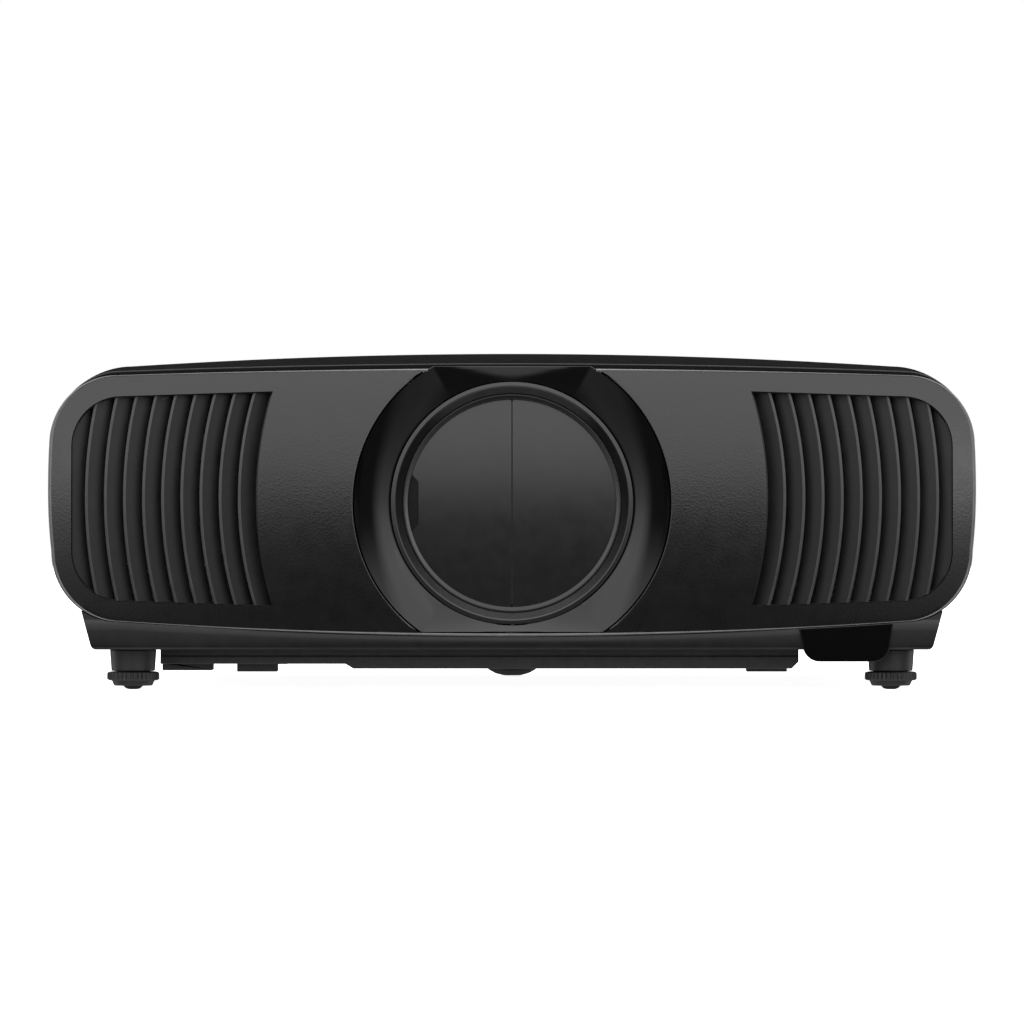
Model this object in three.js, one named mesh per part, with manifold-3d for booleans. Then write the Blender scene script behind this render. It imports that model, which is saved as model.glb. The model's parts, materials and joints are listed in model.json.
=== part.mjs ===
// Home cinema laser projector: casing, lens with motorised shutter and shift, feet, rear
// sockets, side control panel and the main inner assemblies. Millimetres, +Z up, the front
// faces -Y, and the origin is on the surface it stands on, under the middle of the box.
import * as THREE from 'three';
import { mergeVertices } from 'three/addons/utils/BufferGeometryUtils.js';
import Module from 'manifold-3d';

const wasm = await Module();
wasm.setup();

// ---- Driving dimensions ----
const DEPTH = 447;
const HEIGHT = 193;
const FRONT_Y = -DEPTH / 2;
const REAR_Y = DEPTH / 2;
const GAP = 0.4;
const WALL = 3;
const LENS_Z = 105;

// Front panel: a shallow tray with a pillowed face
const PANEL = {
  half: 260,
  waistZ: 112,
  topZ: 180,
  topCorner: { x: 222, z: 138, rx: 37.4, rz: 38.6 },
  bottomZ: 31.1,
  bottomCorner: { x: 220, z: 78, rx: 38, rz: 39.4 },
  backY: -198,
  crownSide: 14,
  crownHeight: 10,
  openingR: 89.1,
  openingTop: 178.6,
  openingBottom: 32.1,
};

// Lens surround, trim ring and shutter
const SURROUND = { r: 88.7, top: 181, bottom: 32.4, innerR: 68.5, innerY: -209, bridgeY: -209.5 };
const LEAF = { r: 63, frontY: -202.5, backY: -199.6, edgeAngle: 89.75 };
const FINGER_RECESS = { x: -52.6, halfHeight: 12, outerX: -56.4, outerHalf: 16.3, depth: 1.4 };
const RACK = { length: 62, upper: [37.2, 40], lower: [26.5, 28.9] };
const LUG = { from: 20, to: 40, top: 62, footTop: 75 };
const PINION = { z: 32.95, r: 3.9, shaftR: 1.5, shaftEnd: -191 };
const SHUTTER_PLATE = { half: 128, frontY: -196.3, backY: -194.3, z0: 28, z1: 172, apertureR: 57 };

// Louvred grilles either side of the lens
const GRILLE = {
  outerX: 247.5,
  cornerR: 28,
  cornerTop: 165,
  cornerBottom: 49.6,
  innerTop: 167.7,
  innerBottom: 46.8,
  arcCentreX: 69.3,
  arcR: 212,
  arcZ: 108,
  firstRidge: 153.2,
  pitch: 10.66,
  slats: 10,
  recess: 2.2,
};

// Casing: the domed cover, the lower case with its base band, and the tray under it
const COVER = { half: 258.5, frontY: -197.6, peakY: 10, rise: 8.6, seamZ: 70, cornerX: 38, cornerZ: 40 };
const SHOULDER = { drop: 4.3, crown: 3.2 };
const REAR_ROUND = { from: 185, taper: 13, drop: 7 };
const SECTIONS = [-140, -65, COVER.peakY, 100, REAR_ROUND.from, 205];
const BAND = { frontY: -213.5, topHalf: 241, topZ: 42, bottomHalf: 237.2, bottomZ: 22.7, chamfer: 4 };
const TRAY = { x0: -199.6, x1: 162.7, y0: -160, y1: 208, top: 22.3, wall: 2.5 };
const TRAY_FLOOR = { shallow: 13.7, deep: 11, stepX: -92 };
const PAD_DEPTH = 24;
const PADS = [
  { x: -185.3, y: -120, width: 28.6, bottom: 9.5 },
  { x: -146, y: -105, width: 23, bottom: 8.4 },
  { x: 146, y: -105, width: 23, bottom: 8.4 },
  { x: -146, y: 120, width: 23, bottom: 8.4 },
  { x: 146, y: 120, width: 23, bottom: 8.4 },
];

// Feet
const FOOT_X = 213.7;
const FOOT_Y = -188;
const LEG = { bottom: 10.4, top: 22.3, boreR: 4.5, boreTop: 47, bossR: 9, bossTop: 50 };
const STEM = { r: 4, top: 44, boreR: 2.4, boreTop: 6.6 };
const KNURL = { teeth: 16, rootR: 14, tipR: 14.5, bottom: 5.1 };
const REAR_FOOT_Y = 190;

// Rear panel, its sockets and its filter door
const REAR_PANEL = { frontY: 213, backY: 216, inset: WALL + 1 };
const CONNECTOR_PLATE = { x0: -10, x1: 158, z0: 85, z1: 111 };
const SOCKET = { z: 98, frontY: 202, mouthY: 205, backY: 217, wall: 0.9 };
const SOCKETS = [
  { name: 'hdmi_socket_1', x: 5, w: 16, h: 7.4 },
  { name: 'hdmi_socket_2', x: 29, w: 16, h: 7.4 },
  { name: 'usb_socket', x: 55, w: 15.5, h: 8.4 },
  { name: 'lan_socket', x: 82, w: 17, h: 15 },
  { name: 'serial_socket', x: 115, w: 31, h: 13 },
];
const JACK = { x: 146, r: 4, boreR: 1.8 };
const INLET = { x: 190, z: 58, w: 30, h: 22, wall: 3, frontY: 190, mouthY: 199, backY: 217.5 };
const INLET_PINS = [-7, 0, 7];
const REAR_EYE = { x: -30, z: 120, w: 22, h: 14 };
const DOOR = { x0: -215, x1: -75, z0: 71.4, z1: 151, frontY: 213.4 };
const DOOR_SLOT = { first: 88, last: 137, pitch: 7, height: 3, margin: 10 };

// Side control panel: each button's name, place along Y and height
const CONTROLS = { y0: 60, y1: 150, z0: 88, z1: 126, faceX: 258.2, thickness: 2.6 };
const BUTTON = { r: 4, backX: 253, topX: 259.6, flangeR: 4.8, flangeX: [252.4, 254.2] };
const BUTTONS = [
  ['power_button', 72, 107],
  ['up_button', 106, 117.5],
  ['down_button', 106, 96.5],
  ['left_button', 95.5, 107],
  ['right_button', 116.5, 107],
  ['enter_button', 106, 107],
  ['menu_button', 133, 117],
  ['escape_button', 133, 107],
  ['source_button', 133, 97],
];

// Lens, light engine and the fans behind the grilles
const BARREL = { front: -191, back: -88.4, r: 52, bore: 45 };
const PHOSPHOR = { x: -118, y: 128, z: 98, r: 33 };
const HEATSINK = { x0: -234, x1: -162, y0: -104, y1: 66, z0: 46, z1: 150, pitch: 16, fin: 1.6 };
const FAN = { x: 195, y: -178, z: 106, size: 92, depth: 25, boreR: 43, rotorR: 41, hubR: 18, blades: 7 };

// ---- Helpers: solids ----
function toSolid(geometry) {
  const bare = geometry.clone();
  bare.deleteAttribute('normal');
  bare.deleteAttribute('uv');
  const merged = mergeVertices(bare, 1e-4);
  const vertProperties = new Float32Array(merged.attributes.position.array);
  const triVerts = new Uint32Array(merged.index.array);
  return new wasm.Manifold(new wasm.Mesh({ numProp: 3, vertProperties, triVerts }));
}

function toGeometry(solid) {
  const mesh = solid.getMesh();
  const geometry = new THREE.BufferGeometry();
  geometry.setAttribute('position', new THREE.BufferAttribute(mesh.vertProperties, 3));
  geometry.setIndex(new THREE.BufferAttribute(mesh.triVerts, 1));
  geometry.computeVertexNormals();
  return geometry;
}

function join(...pieces) {
  return toGeometry(pieces.map(toSolid).reduce((all, next) => all.add(next)));
}

function cut(body, ...tools) {
  return toGeometry(tools.map(toSolid).reduce((left, tool) => left.subtract(tool), toSolid(body)));
}

function common(body, tool) {
  return toGeometry(toSolid(body).intersect(toSolid(tool)));
}

// ---- Helpers: basic shapes, placed in the part's frame ----
function box(x0, x1, y0, y1, z0, z1) {
  const geometry = new THREE.BoxGeometry(x1 - x0, y1 - y0, z1 - z0);
  return geometry.translate((x0 + x1) / 2, (y0 + y1) / 2, (z0 + z1) / 2);
}

function outlineShape(points) {
  return new THREE.Shape(points.map(([x, z]) => new THREE.Vector2(x, z)));
}

// An outline in X and Z, extruded along Y
function prismY(points, y0, y1) {
  const options = { depth: y1 - y0, bevelEnabled: false };
  const geometry = new THREE.ExtrudeGeometry(outlineShape(points), options);
  return geometry.rotateX(Math.PI / 2).translate(0, y1, 0);
}

// An outline in X and Y, extruded along Z
function prismZ(points, z0, z1) {
  const options = { depth: z1 - z0, bevelEnabled: false };
  return new THREE.ExtrudeGeometry(outlineShape(points), options).translate(0, 0, z0);
}

function cylinderY(r, y0, y1, x, z, sides = 24) {
  return new THREE.CylinderGeometry(r, r, y1 - y0, sides).translate(x, (y0 + y1) / 2, z);
}

function cylinderX(r, x0, x1, y, z, sides = 12) {
  const geometry = new THREE.CylinderGeometry(r, r, x1 - x0, sides).rotateZ(Math.PI / 2);
  return geometry.translate((x0 + x1) / 2, y, z);
}

// A profile of [radius, height] pairs turned about a vertical axis
function turnedZ(profile, x, y, sides = 32) {
  const points = profile.map(([r, z]) => new THREE.Vector2(r, z));
  return outward(new THREE.LatheGeometry(points, sides).rotateX(Math.PI / 2).translate(x, y, 0));
}

// A profile of [radius, y] pairs turned about the lens axis
function turnedY(profile, sides = 28) {
  const points = profile.map(([r, y]) => new THREE.Vector2(r, y));
  return outward(new THREE.LatheGeometry(points, sides).translate(0, 0, LENS_Z));
}

function mirrored(geometry) {
  return outward(geometry.clone().scale(-1, 1, 1));
}

// Turns a closed mesh's faces outwards when its volume comes out negative
function outward(geometry) {
  const bare = geometry.clone();
  bare.deleteAttribute('normal');
  bare.deleteAttribute('uv');
  const merged = mergeVertices(bare, 1e-4);
  const index = merged.index.array;
  const [a, b, c] = [new THREE.Vector3(), new THREE.Vector3(), new THREE.Vector3()];
  const kept = [];
  let volume = 0;
  for (let i = 0; i < index.length; i += 3) {
    const [p, q, r] = [index[i], index[i + 1], index[i + 2]];
    if (p === q || q === r || r === p) continue;
    kept.push(p, q, r);
    a.fromBufferAttribute(merged.attributes.position, p);
    b.fromBufferAttribute(merged.attributes.position, q);
    c.fromBufferAttribute(merged.attributes.position, r);
    volume += a.dot(b.cross(c));
  }
  if (volume < 0) kept.reverse();
  merged.setIndex(kept);
  merged.computeVertexNormals();
  return merged;
}

// Joins loops of equal length with quads. A wrapped loft closes the last loop on the first,
// and any other is capped at both ends.
function loft(loops, wrapped) {
  const count = loops[0].length;
  const positions = loops.flat(2);
  const index = [];
  const bands = wrapped ? loops.length : loops.length - 1;
  for (let k = 0; k < bands; k += 1) {
    const next = (k + 1) % loops.length;
    for (let i = 0; i < count; i += 1) {
      const j = (i + 1) % count;
      const [a, b, c, d] = [k * count + i, k * count + j, next * count + j, next * count + i];
      index.push(a, b, c, a, c, d);
    }
  }
  if (!wrapped) {
    const last = (loops.length - 1) * count;
    const flat = loops[0].map(([x, , z]) => new THREE.Vector2(x, z));
    for (const [p, q, r] of THREE.ShapeUtils.triangulateShape(flat, [])) {
      index.push(p, r, q, last + p, last + q, last + r);
    }
  }
  const geometry = new THREE.BufferGeometry();
  geometry.setAttribute('position', new THREE.Float32BufferAttribute(positions, 3));
  geometry.setIndex(index);
  return geometry;
}

// ---- Helpers: outlines ----
const radians = (degrees) => (degrees * Math.PI) / 180;

function arc(cx, cz, rx, rz, from, to, steps) {
  const points = [];
  for (let i = 0; i <= steps; i += 1) {
    const angle = radians(from + ((to - from) * i) / steps);
    points.push([cx + rx * Math.cos(angle), cz + rz * Math.sin(angle)]);
  }
  return points;
}

// Depth of the panel's pillowed face at a place on it
function faceY(x, z) {
  const side = PANEL.crownSide * (x / PANEL.half) ** 4;
  const height = PANEL.crownHeight * ((z - 105.5) / 74.5) ** 2;
  return FRONT_Y + side + height;
}

// The panel's outline, from the bottom middle round to the right, closed by its mirror image
function panelOutline() {
  const { topCorner: top, bottomCorner: bottom } = PANEL;
  const bottomRise = bottom.z - bottom.rz - PANEL.bottomZ;
  const topDrop = PANEL.topZ - top.z - top.rz;
  const edgeXs = [];
  for (let k = 0; k < 8; k += 1) {
    edgeXs.push(74 * Math.tan(radians(9.5 * k)));
  }
  const half = [
    ...edgeXs.map((x) => [x, PANEL.bottomZ + bottomRise * (x / bottom.x) ** 2]),
    ...arc(bottom.x, bottom.z, bottom.rx, bottom.rz, -90, 0, 5),
    [PANEL.half, PANEL.waistZ],
    ...arc(top.x, top.z, top.rx, top.rz, 0, 90, 5),
    ...edgeXs.map((x) => [x, PANEL.topZ - topDrop * (x / top.x) ** 2]).reverse(),
  ];
  const left = half.slice(1, -1).map(([x, z]) => [-x, z]).reverse();
  return [...half, ...left];
}

// A round opening about the lens axis with a flat top and bottom, one point for each of the
// outline's points, on the same ray from the axis
function flattenedCircle(outline, r, top, bottom) {
  return outline.map(([x, z]) => {
    const angle = Math.atan2(z - LENS_Z, x);
    const rise = Math.sin(angle);
    const flat = rise > 0 ? (top - LENS_Z) / rise : (bottom - LENS_Z) / rise;
    const reach = rise === 0 ? r : Math.min(r, flat);
    return [reach * Math.cos(angle), LENS_Z + reach * rise];
  });
}

// Points between the outline and the opening: a share of the way, at most `reach` mm in
function between(outline, opening, reach, share) {
  return outline.map(([x, z], i) => {
    const [u, v] = opening[i];
    const t = Math.min(reach / Math.hypot(u - x, v - z), share);
    return [x + (u - x) * t, z + (v - z) * t];
  });
}

const onFace = (points, behind) => points.map(([x, z]) => [x, faceY(x, z) + behind, z]);
const atY = (points, y) => points.map(([x, z]) => [x, y, z]);

// How far an inner grille edge or ridge bends towards the lens at a height
const bow = (z) => GRILLE.arcR - Math.sqrt(GRILLE.arcR ** 2 - (z - GRILLE.arcZ) ** 2);

// The left grille's opening, counted anticlockwise from the foot of its inner edge
function grilleOutline(grow) {
  const innerX = GRILLE.arcCentreX - GRILLE.arcR;
  const { outerX, cornerR, cornerTop, cornerBottom, innerTop, innerBottom } = GRILLE;
  const points = [];
  for (let i = 0; i <= 4; i += 1) {
    const z = innerBottom - grow + ((innerTop - innerBottom + 2 * grow) * i) / 4;
    points.push([innerX + grow + bow(z), z]);
  }
  const cx = cornerR - outerX;
  points.push(...arc(cx, cornerTop - cornerR, cornerR + grow, cornerR + grow, 90, 180, 4));
  points.push(...arc(cx, cornerBottom + cornerR, cornerR + grow, cornerR + grow, 180, 270, 4));
  return points;
}

// ---- Casing ----
function coverTop(y) {
  const end = Math.max(0, (y - REAR_ROUND.from) / (REAR_Y - REAR_ROUND.from));
  const reach = COVER.peakY - COVER.frontY;
  return HEIGHT - COVER.rise * ((y - COVER.peakY) / reach) ** 2 - REAR_ROUND.drop * end ** 2;
}

function coverHalf(y) {
  const end = Math.max(0, (y - REAR_ROUND.from) / (REAR_Y - REAR_ROUND.from));
  return COVER.half - REAR_ROUND.taper * end ** 2;
}

// Arch of the casing at a depth, from the right-hand seam over the top to the left
function coverArch(y, inset, seamZ) {
  const half = coverHalf(y) - inset;
  const top = coverTop(y) - inset;
  const forward = (y - COVER.peakY) / (COVER.peakY - COVER.frontY);
  const drop = SHOULDER.drop + SHOULDER.crown * (1 - forward ** 2);
  const [rx, rz] = [COVER.cornerX - inset, COVER.cornerZ - inset];
  const cornerX = half - rx;
  const right = [
    [half, seamZ],
    ...arc(cornerX, top - drop - rz, rx, rz, 0, 90, 5),
    ...[150, 90, 40].map((x) => [x, top - drop * (x / cornerX) ** 2]),
    [0, top],
  ];
  const left = right.slice(0, -1).map(([x, z]) => [-x, z]).reverse();
  return [...right, ...left];
}

function coverSolid(inset, y0, y1, seamZ) {
  const places = [y0, ...SECTIONS, y1];
  const loops = places.map((y) => atY(coverArch(Math.min(y, REAR_Y), inset, seamZ), y));
  return outward(loft(loops, false));
}

function topCover() {
  const inside = coverSolid(WALL, COVER.frontY - 5, REAR_Y + 5, COVER.seamZ - 10);
  const { y0, y1, z0, z1 } = CONTROLS;
  const window = box(250, 262, y0 - GAP, y1 + GAP, z0 - GAP, z1 + GAP);
  return cut(coverSolid(0, COVER.frontY, REAR_Y, COVER.seamZ), inside, window);
}

// The lower casing's section, from its seam down round the base band
function lowerSection(y, inset, topZ) {
  const shrink = COVER.half - coverHalf(y) + inset;
  const corner = PANEL.bottomCorner;
  const floor = BAND.bottomZ + inset;
  const right = [
    [BAND.bottomHalf - BAND.chamfer - shrink, floor],
    [BAND.bottomHalf - shrink, floor + BAND.chamfer],
    [BAND.topHalf - shrink, BAND.topZ],
    ...arc(corner.x, corner.z, corner.rx - 0.5 - shrink, corner.rz - inset, -50, -20, 3),
    [COVER.half - 0.5 - shrink, topZ],
  ];
  return [...right, ...right.map(([x, z]) => [-x, z]).reverse()];
}

function lowerSolid(inset, y0, y1, topZ) {
  const places = [y0, REAR_ROUND.from, 205, y1];
  const loops = places.map((y) => atY(lowerSection(Math.min(y, REAR_Y), inset, topZ), y));
  return outward(loft(loops, false));
}

function bottomCase() {
  const inside = lowerSolid(WALL, BAND.frontY + WALL, REAR_Y + 5, COVER.seamZ + 10);
  const grown = panelOutline().map(([x, z]) => [x * 1.012, LENS_Z + (z - LENS_Z) * 1.008]);
  const panelRoom = prismY(grown, -230, COVER.frontY);
  const holeR = LEG.bossR + 0.5;
  const hole = [[0, 10], [holeR, 10], [holeR, 40], [0, 40]];
  const legHoles = [-1, 1].map((side) => turnedZ(hole, side * FOOT_X, FOOT_Y));
  return cut(lowerSolid(0, BAND.frontY, REAR_Y, COVER.seamZ - GAP), inside, panelRoom, ...legHoles);
}

// Shallow tray under the lower casing, with the pads that a ceiling bracket bolts to
function basePlate() {
  const section = (inset) => [
    [TRAY.x0 + inset, TRAY.top + inset],
    [TRAY.x0 + inset, TRAY_FLOOR.shallow + inset],
    [TRAY_FLOOR.stepX - 2.5, TRAY_FLOOR.shallow + inset],
    [TRAY_FLOOR.stepX + 2, TRAY_FLOOR.deep + inset],
    [TRAY.x1 - 4, TRAY_FLOOR.deep + inset],
    [TRAY.x1 - inset, TRAY_FLOOR.deep + 4],
    [TRAY.x1 - inset, TRAY.top + inset],
  ];
  const inside = prismY(section(TRAY.wall), TRAY.y0 + TRAY.wall, TRAY.y1 - TRAY.wall);
  const tray = cut(prismY(section(0), TRAY.y0, TRAY.y1), inside);
  const pads = PADS.map(({ x, y, width, bottom }) => box(
    x - width / 2, x + width / 2, y - PAD_DEPTH / 2, y + PAD_DEPTH / 2, bottom, TRAY_FLOOR.deep + 4,
  ));
  return join(tray, ...pads);
}

// ---- Front ----
function frontPanel() {
  const outline = panelOutline();
  const opening = flattenedCircle(outline, PANEL.openingR, PANEL.openingTop, PANEL.openingBottom);
  const tray = loft([
    onFace(opening, 0),
    onFace(between(outline, opening, 200, 0.6), 0),
    onFace(between(outline, opening, 200, 0.3), 0),
    onFace(between(outline, opening, 3.5, 0.25), 0),
    onFace(outline, 3),
    atY(outline, PANEL.backY),
    atY(between(outline, opening, 3, 0.92), PANEL.backY),
    onFace(between(outline, opening, 4, 0.95), 3),
    onFace(between(outline, opening, 50, 0.96), 3),
    onFace(between(outline, opening, 100, 0.97), 3),
    onFace(opening, 3),
  ], true);
  const leftOpening = prismY(grilleOutline(0), -230, -190);
  const bridgeStep = box(-60, 60, -230, SURROUND.bridgeY, 170, 190);
  const rackRoom = box(-128, 128, -203.4, -190, 20, 60);
  return cut(outward(tray), leftOpening, mirrored(leftOpening), bridgeStep, rackRoom);
}

// One louvre: a front ridge, with a face that falls back towards the lens
function slat(ridgeX) {
  const section = [[0, 0], [1.7, 0], [9, 6.3], [9, 8], [0, 1.8]];
  const loops = [];
  for (let i = 0; i <= 4; i += 1) {
    const z = GRILLE.innerBottom - 3 + ((GRILLE.innerTop - GRILLE.innerBottom + 6) * i) / 4;
    const x = bow(z) - ridgeX;
    loops.push(section.map(([u, v]) => [x + u, faceY(x + u, z) + GRILLE.recess + v, z]));
  }
  return outward(capped(loops));
}

// A loft whose end loops lie level in Z, closed by fans
function capped(loops) {
  const count = loops[0].length;
  const body = loft(loops, true);
  const index = Array.from(body.index.array).slice(0, (loops.length - 1) * count * 6);
  const last = (loops.length - 1) * count;
  for (let i = 1; i < count - 1; i += 1) {
    index.push(0, i + 1, i, last, last + i, last + i + 1);
  }
  body.setIndex(index);
  return body;
}

// Ten louvres in a rim that sits behind the panel, reaching a little into its opening
function grille() {
  const inner = grilleOutline(-0.9);
  const outer = grilleOutline(3);
  const [front, back] = [4.2, 11];
  const loops = [onFace(inner, front), onFace(outer, front), onFace(outer, back), onFace(inner, back)];
  const rim = outward(loft(loops, true));
  const slats = [];
  for (let i = 0; i < GRILLE.slats; i += 1) {
    slats.push(slat(GRILLE.firstRidge + GRILLE.pitch * i));
  }
  const clipped = common(join(...slats), prismY(grilleOutline(-0.5), -230, -180));
  return join(rim, clipped);
}

function lensSurround() {
  const outline = panelOutline();
  const rim = flattenedCircle(outline, SURROUND.r, SURROUND.top, SURROUND.bottom);
  const throat = flattenedCircle(outline, SURROUND.innerR, 1000, -1000);
  const dish = loft([
    onFace(rim, -0.18),
    atY(throat, SURROUND.innerY),
    atY(throat, SURROUND.innerY + 3),
    onFace(rim, 2.6),
  ], true);
  const bridgeRoom = box(-70, 70, SURROUND.bridgeY - GAP, -190, PANEL.openingTop - GAP, 190);
  return cut(outward(dish), bridgeRoom);
}

function lensTrimRing() {
  const { innerY } = SURROUND;
  return turnedY([
    [68.1, innerY + 1], [67.6, innerY + 0.7], [65.7, innerY - 0.9], [65.2, innerY - 0.4],
    [62.1, -203.9], [61.9, -203.1], [61.3, -203.1], [61.1, -204.6], [58.5, -204.2], [58.5, -202.9],
    [68.1, -202.9], [68.1, innerY + 1],
  ], 36);
}

// One shutter leaf, a half disc with the finger recess only on the left one
function leafHalf(side, recess) {
  const rim = arc(0, LENS_Z, LEAF.r, LEAF.r, -LEAF.edgeAngle, LEAF.edgeAngle, 16);
  const half = rim.map(([x, z]) => [side * x, z]);
  const ordered = side > 0 ? half : half.reverse();
  const disc = prismY(ordered, LEAF.frontY, LEAF.backY);
  if (!recess) return disc;
  const { x, halfHeight, outerX, outerHalf, depth } = FINGER_RECESS;
  const tip = -LEAF.r - 2;
  const notch = [
    [x, LENS_Z - halfHeight],
    [x, LENS_Z + halfHeight],
    [outerX, LENS_Z + outerHalf],
    [tip, LENS_Z + outerHalf],
    [tip, LENS_Z - outerHalf],
    [outerX, LENS_Z - outerHalf],
  ];
  return cut(disc, prismY(notch, LEAF.frontY - 1, LEAF.frontY + depth));
}

function shutterLeft() {
  const { length, upper } = RACK;
  const lug = box(-LUG.to, -LUG.from, LEAF.frontY, LEAF.backY, upper[0], LUG.top);
  const rack = box(-LUG.to, length, LEAF.frontY, LEAF.backY, ...upper);
  return join(leafHalf(-1, true), lug, rack);
}

function shutterRight() {
  const { length, lower } = RACK;
  const back = LEAF.backY + 2.9;
  const lug = box(LUG.from, LUG.to, LEAF.backY + GAP, back, lower[0], LUG.footTop);
  const foot = box(LUG.from, LUG.to, LEAF.frontY + 1, back, LUG.top, LUG.footTop);
  const rack = box(-length, LUG.to, LEAF.frontY, back, ...lower);
  return join(leafHalf(1, false), lug, foot, rack);
}

function shutterPinion() {
  const wheel = cylinderY(PINION.r, LEAF.frontY + 0.2, LEAF.backY - 0.2, 0, PINION.z, 16);
  return join(wheel, cylinderY(PINION.shaftR, LEAF.backY - 1, PINION.shaftEnd, 0, PINION.z, 12));
}

// Plate behind the leaves, with the shutter's gear motor
function shutterFrame() {
  const { half, frontY, backY, z0, z1, apertureR } = SHUTTER_PLATE;
  const plate = box(-half, half, frontY, backY, z0, z1);
  const aperture = cylinderY(apertureR, -200, -190, 0, LENS_Z, 40);
  const shaftHole = cylinderY(PINION.shaftR + 0.5, -200, PINION.shaftEnd + GAP, 0, PINION.z, 12);
  const motor = box(-6.5, 6.5, backY - 0.2, -172, PINION.z - 6.3, PINION.z + 6.3);
  const rail = box(-half, half, LEAF.frontY, frontY + 0.3, z1 - 3, z1 - 0.5);
  return cut(join(plate, motor, rail), aperture, shaftHole);
}

// Glossy receiver window on the base band, under the panel's lower rim
function frontWindow() {
  const rimZ = (x) => PANEL.bottomZ + 7.5 * (x / PANEL.bottomCorner.x) ** 2 - 0.7;
  const outline = [
    ...arc(172, 24, 8, 8, 180, 270, 4),
    ...arc(205, 24, 8, 8, 270, 360, 4),
    [214, rimZ(214)],
    [188, rimZ(188)],
    [161, rimZ(161)],
  ];
  return prismY(outline, BAND.frontY - 1.8, BAND.frontY - GAP);
}

// ---- Feet ----
function footLeg(side) {
  const { bottom, top, boreR, boreTop, bossR, bossTop } = LEG;
  return turnedZ([
    [boreR, bottom], [12.3, bottom], [13.15, top], [bossR, top], [bossR, bossTop],
    [0, bossTop], [0, boreTop], [boreR, boreTop], [boreR, bottom],
  ], side * FOOT_X, FOOT_Y, 20);
}

// Knurled thumb wheel under the leg, on the screw stem that turns in it
function footWheel(side) {
  const x = side * FOOT_X;
  const rim = [];
  for (let i = 0; i < KNURL.teeth * 2; i += 1) {
    const angle = (Math.PI * i) / KNURL.teeth;
    const r = i % 2 ? KNURL.tipR : KNURL.rootR;
    rim.push([x + r * Math.cos(angle), FOOT_Y + r * Math.sin(angle)]);
  }
  const core = turnedZ([
    [STEM.boreR, 2.1], [10.75, 2.1], [12, 5.2], [12, 9], [STEM.r, 9], [STEM.r, STEM.top],
    [0, STEM.top], [0, STEM.boreTop], [STEM.boreR, STEM.boreTop], [STEM.boreR, 2.1],
  ], x, FOOT_Y, 16);
  const middle = turnedZ([[0, 4], [6, 4], [6, 8], [0, 8]], x, FOOT_Y, 16);
  return join(core, cut(prismZ(rim, KNURL.bottom, LEG.bottom - 0.3), middle));
}

function footTip(side) {
  const profile = [[0, 0], [3, 0], [4.4, 0.5], [5.2, 1.7], [2, 1.7], [2, 6.2], [0, 6.2]];
  return turnedZ(profile, side * FOOT_X, FOOT_Y, 16);
}

function rearFoot() {
  const profile = [[0, 0], [5, 0], [10, 1.2], [14, 3.4], [17.2, 6], [17.2, 10.7], [0, 10.7]];
  return turnedZ(profile, 0, REAR_FOOT_Y, 28);
}

// ---- Rear ----
function rearPanel() {
  const y = REAR_PANEL.backY;
  const arch = coverArch(y, REAR_PANEL.inset, COVER.seamZ);
  const lower = lowerSection(y, REAR_PANEL.inset, COVER.seamZ);
  const outline = [...lower.slice(0, lower.length / 2), ...arch, ...lower.slice(lower.length / 2)];
  const { x0, x1, z0, z1 } = CONNECTOR_PLATE;
  return cut(
    prismY(outline, REAR_PANEL.frontY, REAR_PANEL.backY),
    box(DOOR.x0, DOOR.x1, 200, 230, DOOR.z0, DOOR.z1),
    box(x0 - GAP, x1 + GAP, 200, 230, z0 - GAP, z1 + GAP),
    roomFor(INLET.x, INLET.z, INLET.w, INLET.h),
    roomFor(REAR_EYE.x, REAR_EYE.z, REAR_EYE.w, REAR_EYE.h),
  );
}

// A hole right through the rear for a piece of this width and height, with a gap round it
function roomFor(x, z, w, h) {
  return box(x - w / 2 - GAP, x + w / 2 + GAP, 200, 230, z - h / 2 - GAP, z + h / 2 + GAP);
}

// The plate round the row of signal sockets, let into the rear panel
function connectorPlate() {
  const { x0, x1, z0, z1 } = CONNECTOR_PLATE;
  return cut(
    box(x0, x1, REAR_PANEL.frontY, REAR_PANEL.backY, z0, z1),
    cylinderY(JACK.r + GAP, 200, 230, JACK.x, SOCKET.z, 20),
    ...SOCKETS.map(({ x, w, h }) => roomFor(x, SOCKET.z, w, h)),
  );
}

// A metal-walled socket through the connector plate, open to the rear
function socket({ x, w, h }) {
  const { z, frontY, mouthY, backY, wall } = SOCKET;
  const [mouthW, mouthH] = [w / 2 - wall, h / 2 - wall];
  const body = box(x - w / 2, x + w / 2, frontY, backY, z - h / 2, z + h / 2);
  return cut(body, box(x - mouthW, x + mouthW, mouthY, backY + 3, z - mouthH, z + mouthH));
}

function powerInlet() {
  const { x, z, w, h, wall, frontY, mouthY, backY } = INLET;
  const [mouthW, mouthH] = [w / 2 - wall, h / 2 - wall];
  const body = box(x - w / 2, x + w / 2, frontY, backY, z - h / 2, z + h / 2);
  const mouth = box(x - mouthW, x + mouthW, mouthY, backY + 3, z - mouthH, z + mouthH);
  const pins = INLET_PINS.map((dx) => box(
    x + dx - 1, x + dx + 1, mouthY - 4, 213, z - 7.2 + Math.abs(dx) / 7, z - 4,
  ));
  return join(cut(body, mouth), ...pins);
}

function triggerJack() {
  const body = cylinderY(JACK.r, 200, INLET.backY, JACK.x, SOCKET.z, 20);
  return cut(body, cylinderY(JACK.boreR, 204, 220, JACK.x, SOCKET.z, 16));
}

function rearWindow() {
  const { x, z, w, h } = REAR_EYE;
  return box(x - w / 2, x + w / 2, 212, 216.8, z - h / 2, z + h / 2);
}

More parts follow.
